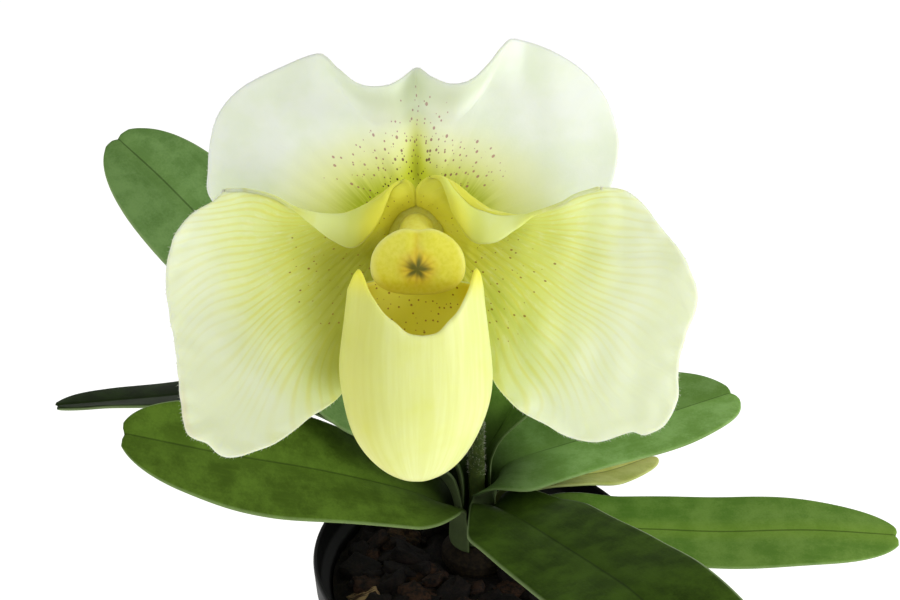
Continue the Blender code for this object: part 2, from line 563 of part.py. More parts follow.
def petal_grid(petal, rows):
    """A broad drooping petal. Rays run from the foot's arc to the free edge, the first along the upper
    margin. The base swells into a shoulder beside the column. Outwards the blade sweeps forward and waves.
    From the crest a lap of margin rolls forward and hangs down over the face."""
    plan, t = fan(petal["foot"], petal["edge"], rows)
    s = np.linspace(0.0, 1.0, plan.shape[1])[None, :]
    bow = smooth_path(petal["upper"], rows) - plan[:, 0]
    plan = plan + bow[:, None] * ((1 - s) ** 3)[..., None]
    height, count, phase = petal["waves"]
    out = np.linalg.norm(plan - np.array(HEART), axis=-1)
    z = -0.0036 + 0.0048 * smooth_step((out - FOOT_RADIUS) / 0.008) + 0.0070 * (out / 0.060) ** 2
    z += height * t**2 * np.sin(2 * math.pi * (count * s + phase))
    z += 0.0024 * smooth_step(1 - s / 0.2) * smooth_step((t - 0.15) / 0.2) * smooth_step((1 - t) / 0.3)
    z += 0.0030 * bell(out - 0.0080, 0.0028) * smooth_step((0.5 - s) / 0.2)
    z += -0.0022 * bell(t - 0.14, 0.09) * smooth_step(1 - s / 0.12)
    face = np.concatenate([plan, z[..., None]], axis=-1)
    share, drop = np.array(petal["lap"]).T
    hang = np.interp(t, share, drop)
    laps = []
    for i in range(LAP_STEPS, 0, -1):
        turn = LAP_TURN * i / LAP_STEPS
        down = hang * (1 - math.cos(turn)) / (1 - math.cos(LAP_TURN))
        forward = 0.50 * hang * math.sin(turn) + 0.0004 * i * np.clip(hang / 0.002, 0.35, 1.0)
        laps.append(face[:, 0] + np.hstack([0 * down, -down, forward]))
    return np.concatenate([np.stack(laps, axis=1), face], axis=1)


SYNSEPAL_EDGE = ((-0.0105, -0.0060), (-0.0140, -0.0160), (-0.0125, -0.0280), (-0.0070, -0.0360),
                 (0.0005, -0.0385), (0.0080, -0.0360), (0.0130, -0.0280), (0.0145, -0.0160),
                 (0.0108, -0.0060))


def synsepal_grid(rows):
    """The lower sepal behind the pouch: an oval blade, cupped forward."""
    plan, t = fan((215, 325), SYNSEPAL_EDGE, rows)
    z = -0.0050 - 0.0040 * t + 0.0040 * (plan[..., 0] / 0.014) ** 2 * t
    return np.concatenate([plan, z[..., None]], axis=-1)


# The pouch, in the flower's frame: its toe, its widest place and its rim's height at angles from the front.
# At the back the rim rises to the underside of the column, which carries the pouch
POUCH_TOE = (0.0004, -0.0459, 0.0190)
POUCH_WIDEST = -0.0230
POUCH_HALF_WIDTH = 0.0151
POUCH_HALF_DEPTH = 0.0140
POUCH_RIM = ((0.0, -0.0139), (0.22, -0.0133), (0.40, -0.0116), (0.57, -0.0084), (0.70, -0.0054),
             (0.84, -0.0026), (0.95, -0.0016), (1.10, -0.0024), (1.35, -0.0048), (1.60, -0.0060),
             (2.30, -0.0064), (2.70, -0.0050), (3.15, -0.0021))
POUCH_RIM_SHIFT = 0.12
POUCH_SHOULDERS = 0.13


def pouch_grid(rows, columns):
    """The slipper: ellipses from the round toe up to a rim that is low in front and rises to a lobe on each
    side and to the column at the back. Above its widest place the wall draws in."""
    around = np.linspace(-math.pi, math.pi, columns, endpoint=False)[None, :]
    h = np.linspace(0.0, 1.0, rows)[:, None]
    turned_by = np.abs(around - POUCH_RIM_SHIFT * np.cos(around / 2) ** 2)
    angle, height = np.array(POUCH_RIM).T
    rim = np.interp(turned_by, angle, height)
    rise = 0.50 * (1 - np.cos(h * math.pi / 2)) + 0.50 * h
    y = POUCH_TOE[1] + (rim - POUCH_TOE[1]) * rise
    low = np.clip((y - POUCH_TOE[1]) / (POUCH_WIDEST - POUCH_TOE[1]), 0, 1)
    shoulders = POUCH_SHOULDERS * smooth_step((y - POUCH_WIDEST) / 0.021)
    girth = np.maximum(np.sqrt(np.clip(1 - (1 - low) ** 2, 0, 1)) - shoulders, 0.12)
    x = POUCH_TOE[0] + POUCH_HALF_WIDTH * girth * np.sin(around)
    middle = POUCH_TOE[2] - 0.0020 * smooth_step((y - POUCH_TOE[1]) / 0.045)
    z = middle + POUCH_HALF_DEPTH * girth * np.cos(around)
    return np.stack([x, y, z], axis=-1)


def cup_mesh(name, grid):
    """The sheet of a looped grid whose first ring is closed by one flat facet."""
    mesh = grid_mesh(name, grid, loop=True)
    shape = bmesh.new()
    shape.from_mesh(mesh)
    ring = grid.shape[1]
    hole = [e for e in shape.edges if e.is_boundary and all(v.index < ring for v in e.verts)]
    bmesh.ops.contextual_create(shape, geom=hole)
    bmesh.ops.triangulate(shape, faces=shape.faces)
    bmesh.ops.recalc_face_normals(shape, faces=shape.faces)
    shape.to_mesh(mesh)
    shape.free()
    return mesh


# The column, from the flower's heart forward, and the staminode, the shield that it carries at its tip
COLUMN_RADIUS = 0.0038
COLUMN_BACK = -0.0058
COLUMN_FRONT = 0.0118
COLUMN_LIFT = 0.0006
COLUMN_DROP = 0.0022
COLUMN_LEAN = 0.0005
ANTHER_RADIUS = 0.0021
ANTHER_CENTRE = (0.0042, 0.0010, 0.0066)
SHIELD_CENTRE = (0.0008, -0.0014, 0.0140)
SHIELD_RADII = (0.0097, 0.0071)
SHIELD_THICKNESS = 0.0012


def make_column(finish):
    """The column: a short thick post out of the flower's heart, with an anther knob on each side."""
    radii = COLUMN_RADIUS * np.array((0.88, 0.96, 1.0, 1.0, 0.92, 0.78))
    z = np.linspace(COLUMN_BACK, COLUMN_FRONT, len(radii))
    x = HEART[0] + np.linspace(0.0, COLUMN_LEAN, len(radii))
    y = HEART[1] + COLUMN_LIFT - COLUMN_DROP * smooth_step((z + 0.002) / 0.012)
    path = on_flower(np.stack([x, y, z], axis=-1))
    column = new_object("column", tube_mesh("column", path, radii, 14), finish)
    knobs = []
    for side in (-1.0, 1.0):
        mesh = bpy.data.meshes.new("anther_left" if side < 0 else "anther_right")
        shape = bmesh.new()
        x, y, z = ANTHER_CENTRE
        centre = Matrix.Translation(on_flower((side * x, y, z)))
        bmesh.ops.create_icosphere(shape, subdivisions=1, radius=ANTHER_RADIUS, matrix=centre)
        shape.to_mesh(mesh)
        shape.free()
        knobs.append(helper_mesh(mesh.name, mesh))
    apply_union(column, knobs)
    return column


def shield_grid(rows, columns):
    """The staminode: a rounded shield, widest below its middle, notched at the top and domed."""
    around = np.linspace(0.0, 2 * math.pi, columns, endpoint=False)[None, :]
    t = np.linspace(0.10, 1.0, rows)[:, None]
    notch = 1 - 0.12 * bell(around - math.pi / 2, 0.28)
    square = (np.abs(np.cos(around)) ** 2.3 + np.abs(np.sin(around)) ** 2.3) ** (-1 / 2.3)
    y = SHIELD_RADII[1] * square * notch * t * np.sin(around)
    x = SHIELD_RADII[0] * square * notch * t * np.cos(around) * (1 - 0.10 * y / SHIELD_RADII[1])
    z = 0.0018 * (1 - t**2) + 0.0006 * bell(t, 0.25) - 0.0012 * (y / SHIELD_RADII[1]) * t
    return np.stack([x + SHIELD_CENTRE[0], y + SHIELD_CENTRE[1], z + SHIELD_CENTRE[2]], axis=-1)


BRACT_MIDRIB = ((-0.0072, -0.0212, 0.1925), (-0.0090, -0.0235, 0.2010), (-0.0118, -0.0285, 0.2110),
                (-0.0135, -0.0345, 0.2200), (-0.0142, -0.0400, 0.2265))
BRACT_HALF_WIDTH = 0.0068
BRACT_FOLD = math.radians(35)


def bract_grid(rows, columns):
    """The bract behind the ovary: a short pointed leaf folded round it."""
    spine = smooth_path(BRACT_MIDRIB, rows)
    t = np.linspace(0.0, 1.0, rows)
    tangent = np.gradient(spine, axis=0)
    tangent /= np.linalg.norm(tangent, axis=1)[:, None]
    side = np.cross(tangent, (0.0, 0.7, 0.7))
    side /= np.linalg.norm(side, axis=1)[:, None]
    back = np.cross(tangent, side)
    half = BRACT_HALF_WIDTH * np.sin(math.pi * (0.22 + 0.76 * t)) ** 0.8
    c = np.linspace(-1.0, 1.0, columns)[None, :, None]
    folded = side[:, None] * c * math.cos(BRACT_FOLD) - back[:, None] * np.abs(c) * math.sin(BRACT_FOLD)
    return spine[:, None] + half[:, None, None] * folded


def main():
    clear_scene()
    black_plastic = material("pot_plastic", (0.060, 0.060, 0.065), 0.42)
    bark = material("bark_mix", (0.20, 0.13, 0.09), 0.90)
    root_skin = material("root_skin", (0.46, 0.42, 0.22), 0.70)
    green_leaf = material("leaf_green", (0.27, 0.42, 0.15), 0.45)
    yellow_leaf = material("leaf_yellowed", (0.72, 0.72, 0.38), 0.55)
    stem_green = material("stem_green", (0.38, 0.48, 0.20), 0.60)
    sepal_white = material("sepal_white", (0.92, 0.96, 0.84), 0.50)
    petal_cream = material("petal_cream", (0.90, 0.94, 0.74), 0.50)
    pouch_yellow = material("pouch_yellow", (0.91, 0.92, 0.56), 0.35)
    column_yellow = material("column_yellow", (0.88, 0.84, 0.26), 0.40)

    make_pot(black_plastic)
    make_mix(bark)
    make_rootstock(root_skin)
    for name, leaf in LEAVES.items():
        finish = yellow_leaf if name == "leaf_old" else green_leaf
        columns = 11 if leaf["hug"] else 7
        blade(name, grid_mesh(name, leaf_grid(leaf, 15, columns)), LEAF_THICKNESS, finish)

    make_stem(stem_green)
    blade("bract", grid_mesh("bract", bract_grid(9, 5)), PETAL_THICKNESS, stem_green)

    flower = (
        ("dorsal_sepal", dorsal_grid(9), sepal_white),
        ("synsepal", synsepal_grid(7), sepal_white),
        ("petal_left", petal_grid(LEFT_PETAL, 14), petal_cream),
        ("petal_right", petal_grid(RIGHT_PETAL, 14), petal_cream),
    )
    for name, grid, finish in flower:
        blade(name, grid_mesh(name, on_flower(grid)), PETAL_THICKNESS, finish)
    blade("lip_pouch", cup_mesh("lip_pouch", on_flower(pouch_grid(13, 28))), POUCH_THICKNESS, pouch_yellow)
    make_column(column_yellow)
    blade("staminode", cup_mesh("staminode", on_flower(shield_grid(5, 20))), SHIELD_THICKNESS, column_yellow)


main()
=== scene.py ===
"""The looks of a slipper orchid in a black nursery pot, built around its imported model, in metres.

Every surface is a grid of points worked out from the same lines and sizes as the solids, only finer. The flower
faces -Y. Colours, veins and spots are node materials that read the surfaces' own attributes.
"""

import math

import bpy
import numpy as np
from mathutils import Matrix, Vector


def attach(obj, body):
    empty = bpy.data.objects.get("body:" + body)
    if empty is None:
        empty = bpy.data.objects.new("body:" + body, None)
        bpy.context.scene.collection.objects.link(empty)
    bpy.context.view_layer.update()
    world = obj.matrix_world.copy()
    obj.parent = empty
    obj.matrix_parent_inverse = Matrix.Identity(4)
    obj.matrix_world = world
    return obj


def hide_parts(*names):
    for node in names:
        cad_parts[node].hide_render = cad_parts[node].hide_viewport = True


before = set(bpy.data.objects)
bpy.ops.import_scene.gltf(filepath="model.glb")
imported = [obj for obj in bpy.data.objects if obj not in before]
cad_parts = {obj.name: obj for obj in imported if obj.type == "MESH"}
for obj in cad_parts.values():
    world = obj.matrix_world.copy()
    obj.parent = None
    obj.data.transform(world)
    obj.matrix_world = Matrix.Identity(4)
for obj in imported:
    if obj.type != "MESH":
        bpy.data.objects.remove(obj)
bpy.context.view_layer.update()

# The pot
POT_RIM_RADIUS = 0.0525
POT_HEIGHT = 0.095
POT_BASE_RADIUS = 0.038
POT_WALL = 0.0013
POT_FLOOR = 0.0020
RIM_BAND_HEIGHT = 0.011
RIM_BAND_STEP = 0.0022
BAND_FOOT = POT_HEIGHT - RIM_BAND_HEIGHT
LIP_ROUND = 0.0006
DRAIN_HOLES = 8
DRAIN_RADIUS = 0.0045
DRAIN_CIRCLE_RADIUS = 0.027

# The potting mix and its bark chips
MIX_TOP = 0.084
MIX_GAP = 0.0004
CHIP_COUNT = 190
CHIP_LENGTH = 0.0105
CHIP_SEED = 12
CHIP_EDGES = 0.38
CHIP_SWING = (math.pi, 0.45, 0.45)
CHIP_GRAIN = np.array((160.0, 900.0, 900.0))
BED_TINT = 0.3

# The rootstock, its cone and its roots
CROWN_X = -0.0010
CROWN_Y = 0.0120
CONE_TOP = 0.0940
CONE_TOP_RADIUS = 0.0030
CONE_FOOT = 0.0856
CONE_FOOT_RADIUS = 0.01117
CROWN_RADIUS = 0.0114
ROOT_HOLE_RADIUS = 0.0123
ROOT_HOLE_FLOOR = 0.036
ROOT_COUNT = 7
ROOT_RADIUS = 0.0020

# Stem and ovary
STEM_RADIUS = 0.0024
STEM_FOOT_RADIUS = 0.00264
OVARY_RADIUS = 0.0031
OVARY_RIBS = 6
OVARY_RIB_SHARE = 0.06
STEM_PATH = ((CROWN_X, CROWN_Y, CONE_TOP + 0.0003), (-0.0011, 0.0120, 0.1085), (-0.0016, 0.0080, 0.1280),
             (-0.0034, -0.0080, 0.1620), (-0.0085, -0.0250, 0.1930))
OVARY_PATH = ((-0.0086, -0.0253, 0.1937), (-0.0125, -0.0325, 0.2110), (-0.0155, -0.0440, 0.2235),
              (-0.0168, -0.0580, 0.2292), (-0.0170, -0.0624, 0.2310))

# The flower's own frame: +x to the viewer's right, +y up along the sepal, +z out of its face
FLOWER_PLACE = np.array((-0.0170, -0.0690, 0.2305))
FLOWER_TILT = math.radians(18)
FLOWER_OUT = np.array((0.0, -math.cos(FLOWER_TILT), math.sin(FLOWER_TILT)))
FLOWER_UP = np.array((0.0, math.sin(FLOWER_TILT), math.cos(FLOWER_TILT)))
HEART = np.array((0.0, 0.0030))
FOOT_RADIUS = 0.0044

# Leaves and petals
LEAF_THICKNESS = 0.0011
LEAF_HALF_WIDTH = 0.0190
SHEATH_FOLD = 50
TIP_NOTCH = 0.0006
INNER_SHEATH = 0.0040
SHEATH_STEP = LEAF_THICKNESS + 0.00035
SHEATH_BLEND = 0.016
SHEATH_BEND = np.array((0.30, 0.30, 0.50))
FURROW_DEPTH = 0.00022
LEAF_ARCH = 0.0009
LEAF_WAVE = 0.00055
PALE_MARGIN_MM = 0.45
PETAL_THICKNESS = 0.0008
POUCH_THICKNESS = 0.0010
GAP = 0.0003
MM = 0.001
UP = np.array((0.0, 0.0, 1.0))
RIGHT = np.array((1.0, 0.0, 0.0))


def smooth_step(x):
    """0 below 0 and 1 above 1, with 3x^2 - 2x^3 in between."""
    x = np.clip(x, 0.0, 1.0)
    return x * x * (3.0 - 2.0 * x)


def bell(x, width):
    """A bump of height 1 at 0 that fades out over about two widths."""
    return np.exp(-((x / width) ** 2))


def unit(vectors):
    """Vectors at unit length."""
    return vectors / np.linalg.norm(vectors, axis=-1, keepdims=True)


def stacked(x, y, z):
    """Points from coordinates that are whole grids, single rows or columns, or numbers."""
    return np.stack(np.broadcast_arrays(x, y, z), axis=-1)


def unevenness(x, y, length, seed):
    """Irregular waves between about -1 and 1: nine sine waves of seeded directions, phases and lengths."""
    rng = np.random.default_rng(seed)
    total = 0.0
    for turn, phase, share in rng.uniform((0.0, 0.0, 0.7), (math.tau, math.tau, 1.5), (9, 3)):
        total = total + np.sin(math.tau * share * (x * math.cos(turn) + y * math.sin(turn)) / length + phase)
    return total / 4.0


def curve_through(points, per_span):
    """The points of a Catmull-Rom curve, with per_span steps between each two of the given ones."""
    p = np.array(points, float)
    ends = np.vstack([2 * p[0] - p[1], p, 2 * p[-1] - p[-2]])
    u = np.linspace(0.0, 1.0, per_span, endpoint=False)[:, None]
    spans = [b + 0.5 * ((c - a) * u + (2 * a - 5 * b + 4 * c - d) * u**2 + (3 * b - a - 3 * c + d) * u**3)
             for a, b, c, d in zip(ends[:-3], ends[1:-2], ends[2:-1], ends[3:])]
    return np.vstack([*spans, p[-1][None]])


def smooth_path(points, count):
    """count points at equal steps along the curve through the given ones."""
    fine = curve_through(points, 24)
    along = np.concatenate([[0.0], np.cumsum(np.linalg.norm(np.diff(fine, axis=0), axis=1))])
    steps = np.linspace(0.0, along[-1], count)
    return np.stack([np.interp(steps, along, column) for column in fine.T], axis=1)


def on_flower(x, y, z):
    """Points of the flower's own frame, x right, y up and z out of the face, in the part's frame."""
    x, y, z = np.split(stacked(x, y, z), 3, axis=-1)
    return FLOWER_PLACE + x * RIGHT + y * FLOWER_UP + z * FLOWER_OUT


# Meshes from whole arrays


def solid(name, points, quads, triangles, marks):
    """A smooth-shaded object from arrays of points and faces, with one attribute of its points for each mark."""
    mesh = bpy.data.meshes.new(name)
    corners = np.concatenate([quads.ravel(), triangles.ravel()])
    starts = np.concatenate([4 * np.arange(len(quads)), quads.size + 3 * np.arange(len(triangles))])
    mesh.vertices.add(len(points))
    mesh.vertices.foreach_set("co", points.astype(np.float32).ravel())
    mesh.loops.add(len(corners))
    mesh.loops.foreach_set("vertex_index", corners.astype(np.int32))
    mesh.polygons.add(len(starts))
    mesh.polygons.foreach_set("loop_start", starts.astype(np.int32))
    mesh.update(calc_edges=True)
    mesh.shade_smooth()
    for mark, values in marks.items():
        kind, field = ("FLOAT", "value") if values.ndim == 1 else ("FLOAT_VECTOR", "vector")
        mesh.attributes.new(mark, kind, "POINT").data.foreach_set(field, values.astype(np.float32).ravel())
    obj = bpy.data.objects.new(name, mesh)
    bpy.context.scene.collection.objects.link(obj)
    return obj


def cells(index):
    """The four-sided faces between neighbouring points of a grid of point numbers."""
    a, b, c, d = index[:-1, :-1], index[:-1, 1:], index[1:, 1:], index[1:, :-1]
    return np.stack([a, b, c, d], axis=-1).reshape(-1, 4)


def surface_normals(grid, loop):
    """The cross product of the steps across and along the grid, at unit length."""
    across = (np.roll(grid, -1, 1) - np.roll(grid, 1, 1)) / 2 if loop else np.gradient(grid, axis=1)
    normal = np.cross(across, np.gradient(grid, axis=0))
    return normal / np.maximum(np.linalg.norm(normal, axis=-1, keepdims=True), 1e-12)


def edge_distance(grid, loop):
    """How far along the surface each point is from the nearest free edge of the grid. A loop has only its last."""
    down = np.cumsum(np.linalg.norm(np.diff(grid, axis=0, prepend=grid[:1]), axis=-1), axis=0)
    if loop:
        return down[-1:] - down
    side = np.cumsum(np.linalg.norm(np.diff(grid, axis=1, prepend=grid[:, :1]), axis=-1), axis=1)
    return np.minimum.reduce([down, down[-1:] - down, side, side[:, -1:] - side])


def shell(name, grid, thickness, front, marks, loop=False):
    """A closed thin blade or cup. Front and back lie half the thickness to each side of the grid, which thins to
    nothing over a rounded edge whose points both sides share. A loop's first ring is closed by a pole on each
    side. front is the direction, for each point or for all, that the front looks in. A mark is a grid of values,
    or a row, a column or one number for the whole grid."""
    rows, columns = grid.shape[:2]
    normal = surface_normals(grid, loop)
    turned = np.sum(normal * front) < 0
    normal = -normal if turned else normal
    share = np.clip(edge_distance(grid, loop) / thickness, 0.0, 1.0)
    lift = normal * (thickness / 2 * np.sqrt(1 - (1 - share) ** 2))[..., None]
    inner = np.ones((rows, columns), bool)
    inner[-1] = False
    if not loop:
        inner[0] = inner[:, 0] = inner[:, -1] = False
    index = np.arange(rows * columns).reshape(rows, columns)
    back = index.copy()
    back[inner] = rows * columns + np.arange(inner.sum())
    points = np.concatenate([(grid + lift).reshape(-1, 3), (grid - lift)[inner]])
    made = {"side": np.repeat((1.0, -1.0), (rows * columns, inner.sum()))}
    for mark, values in marks.items():
        values = np.broadcast_to(values, (rows, columns, *np.shape(values)[2:]))
        made[mark] = np.concatenate([values.reshape(rows * columns, *values.shape[2:]), values[inner]])
    triangles = np.zeros((0, 3), int)
    if loop:
        index, back = (np.concatenate([i, i[:, :1]], axis=1) for i in (index, back))
        poles = len(points) + np.arange(2)
        centre, middle = grid[0].mean(axis=0), lift[0].mean(axis=0)
        points = np.concatenate([points, [centre + middle, centre - middle]])
        made = {mark: np.concatenate([values, values[[0, 0]]]) for mark, values in made.items()}
        made["side"][-1] = -1.0
        fan = [np.stack([ring[0, 1:], ring[0, :-1], np.full(columns, pole)], axis=-1)
               for ring, pole in zip((index, back), poles)]
        triangles = np.concatenate([fan[0], fan[1][:, ::-1]])
    quads = np.concatenate([cells(index), cells(back)[:, ::-1]])
    if turned:
        quads, triangles = quads[:, ::-1], triangles[:, ::-1]
    return solid(name, points, quads, triangles, made)


def closed_loops(grids, axis_points):
    """Points and faces of tubes whose ends are closed by poles. Each grid has rows of rings about axis_points."""
    points, quads, triangles, count = [], [], [], 0
    for grid, axis in zip(grids, axis_points):
        rows, columns = grid.shape[:2]
        index = count + np.arange(rows * columns).reshape(rows, columns)
        index = np.concatenate([index, index[:, :1]], axis=1)
        first, last = count + rows * columns, count + rows * columns + 1
        body = cells(index)
        caps = np.concatenate([
            np.stack([index[0, 1:], index[0, :-1], np.full(columns, first)], axis=-1),
            np.stack([index[-1, :-1], index[-1, 1:], np.full(columns, last)], axis=-1),
        ])
        if np.sum(surface_normals(grid, True) * (grid - axis[:, None])) < 0:
            body, caps = body[:, ::-1], caps[:, ::-1]
        points += [grid.reshape(-1, 3), grid[0].mean(axis=0)[None], grid[-1].mean(axis=0)[None]]
        quads.append(body)
        triangles.append(caps)
        count += rows * columns + 2
    return np.concatenate(points), np.concatenate(quads), np.concatenate(triangles)


def circles(directions, beside, sides):
    """The points of a circle of radius 1 square to each direction, beginning square to beside too."""
    side = unit(np.cross(directions, beside))[:, None]
    turn = np.linspace(0.0, math.tau, sides, endpoint=False)[:, None]
    return np.cos(turn) * side + np.sin(turn) * np.cross(directions[:, None], side)


def tube_grid(path, radii, sides, ribs=0, rib_height=0.0):
    """Rings about a path, with one radius for each of its points, and ridges along it if ribs isn't 0."""
    ridge = 1.0 + rib_height * np.cos(ribs * np.linspace(0.0, math.tau, sides, endpoint=False))
    rings = circles(unit(np.gradient(path, axis=0)), (1.0, 0.0, 0.05), sides)
    return path[:, None] + rings * ridge[:, None] * radii[:, None, None]


def tubes(name, grids, paths):
    """One object of closed tubes."""
    return solid(name, *closed_loops(grids, paths), {})


def turned(name, profile, sides):
    """A solid of revolution about +Z. The profile runs from the axis at the bottom round to the axis again, and
    its own ends lie on the axis."""
    turn = np.linspace(0.0, math.tau, sides, endpoint=False)
    radius, height = profile[1:-1, :1], profile[1:-1, 1:]
    grid = stacked(radius * np.cos(turn), radius * np.sin(turn), height)
    return tubes(name, [grid], [np.zeros((len(grid), 3))])


def rounded(corners, radius, steps):
    """A polyline whose inner corners are replaced by quadratic curves that start a radius before each corner."""
    p = np.array(corners, float)
    made = [p[:1]]
    u = np.linspace(0.0, 1.0, steps)[:, None]
    for before, corner, after in zip(p[:-2], p[1:-1], p[2:]):
        back, on = before - corner, after - corner
        reach = min(radius, 0.45 * np.linalg.norm(back), 0.45 * np.linalg.norm(on))
        start, end = corner + unit(back) * reach, corner + unit(on) * reach
        made.append((1 - u) ** 2 * start + 2 * u * (1 - u) * corner + u**2 * end)
    made.append(p[-1:])
    return np.concatenate(made)


def hairs(name, roots, directions, lengths, radius):
    """Fine hairs in one object: a slim closed spike with a three-sided foot at each root."""
    directions = unit(directions)
    foot = roots[:, None] + radius * circles(directions, (0.31, 0.87, 0.38), 3)
    tip = roots + directions * lengths[:, None]
    points = np.concatenate([foot, tip[:, None]], axis=1).reshape(-1, 3)
    faces = np.array(((1, 0, 2), (0, 1, 3), (1, 2, 3), (2, 0, 3)))
    triangles = (4 * np.arange(len(roots))[:, None, None] + faces).reshape(-1, 3)
    return solid(name, points, np.zeros((0, 4), int), triangles, {})


def dress(piece, slot, finish, *nodes):
    """Gives a piece its material and its body, and hides the imported solids that it stands for. slot is not used.
    """
    piece.data.materials.append(finish)
    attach(piece, "root")
    if nodes:
        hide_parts(*nodes)
    return piece


# Materials

MATH, MIX, RANGE = "ShaderNodeMath", "ShaderNodeMix", "ShaderNodeMapRange"
NOISE, MARK, PLACE = "ShaderNodeTexNoise", "ShaderNodeAttribute", "ShaderNodeTexCoord"
CELLS, CHANNELS = "ShaderNodeTexVoronoi", "ShaderNodeSeparateColor"
RGBA = {"data_type": "RGBA"}
SMOOTH = {"interpolation_type": "SMOOTHSTEP"}
PLANE = {"noise_dimensions": "2D"}
NET = {"voronoi_dimensions": "2D", "feature": "F1"}
TIMES, TIMES_PLUS, MINUS, LARGEST, TO_NEAREST = (
    {"operation": word} for word in ("MULTIPLY", "MULTIPLY_ADD", "SUBTRACT", "MAXIMUM", "PINGPONG"))

# The shaders' own numbers: thin matt tissue lets light into itself, waxy tissue is satin, a leaf's cuticle is dull
THIN_TISSUE = {"Roughness": 0.58, "IOR": 1.42, "Specular IOR Level": 0.30, "Sheen Weight": 0.08,
               "Sheen Roughness": 0.5, "Subsurface Weight": 0.55, "Subsurface Scale": 0.0025}
WAXY_TISSUE = {"IOR": 1.45, "Specular IOR Level": 0.36, "Coat Roughness": 0.35}
CUTICLE = {"Roughness": 0.56, "IOR": 1.45, "Specular IOR Level": 0.05, "Subsurface Weight": 0.06,
           "Subsurface Scale": 0.0012, "Subsurface Radius": (0.6, 1.0, 0.2)}


def tone(code):
    """An sRGB hex colour as linear RGBA."""
    srgb = [int(code[i:i + 2], 16) / 255 for i in (1, 3, 5)]
    return (*[((c + 0.055) / 1.055) ** 2.4 if c > 0.04045 else c / 12.92 for c in srgb], 1.0)


def node(tree, kind, settings, links, out=0):
    """Adds a node with its settings and returns one of its outputs. links holds a socket or a value for each
    input, by its name or number, or in the inputs' order."""
    made = tree.nodes.new(kind)
    for name, value in settings.items():
        setattr(made, name, value)
    for key, value in links.items() if isinstance(links, dict) else enumerate(links):
        if isinstance(value, bpy.types.NodeSocket):
            tree.links.new(value, made.inputs[key])
        else:
            made.inputs[key].default_value = value
    return made.outputs[out]


def surface(name, numbers, paint=None, *choices):
    """A material with its Principled shader's own numbers. paint lays its nodes and returns its colour, the height
    of its bump, and the bump's strength and depth in metres. choices are what paint is told besides."""
    made = bpy.data.materials.new(name)
    made.use_nodes = True
    tree = made.node_tree
    shader = tree.nodes["Principled BSDF"]
    for key, value in numbers.items():
        shader.inputs[key].default_value = value
    if paint:
        colour, height, strength, depth = paint(tree, *choices)
        bump = node(tree, "ShaderNodeBump", {}, {"Strength": strength, "Distance": depth, "Height": height})
        tree.links.new(colour, shader.inputs["Base Color"])
        tree.links.new(bump, shader.inputs["Normal"])
    return made


def coats(tree, colour, *layers):
    """Colours laid over a first one. Each layer has its tone after its share, or after the value that the share
    follows in a smooth ramp and the two values at the ramp's ends."""
    for share, over in layers:
        if isinstance(share, tuple):
            share = node(tree, RANGE, SMOOTH, share)
        colour = node(tree, MIX, RGBA, {0: share, 6: colour, 7: tone(over) if isinstance(over, str) else over}, 2)
    return colour


def spots(tree, place, density, size):
    """Spots, at most one in each unit cell of an irregular net over place. A spot is there where its cell's random
    share is below the density, and its radius is a random share of size."""
    distance, chance = (node(tree, CELLS, NET, {"Vector": place, "Scale": 1.0, "Randomness": 1.0}, out)
                        for out in (0, 1))
    first, second = (node(tree, CHANNELS, {}, (chance,), out) for out in (0, 1))
    there = node(tree, MATH, {"operation": "LESS_THAN"}, (first, density))
    radius = node(tree, MATH, TIMES_PLUS, (second, 0.60 * size, 0.40 * size))
    radius = node(tree, MATH, TIMES, (radius, there))
    return node(tree, RANGE, SMOOTH, (node(tree, MATH, MINUS, (radius, distance)), 0.0, 0.06))


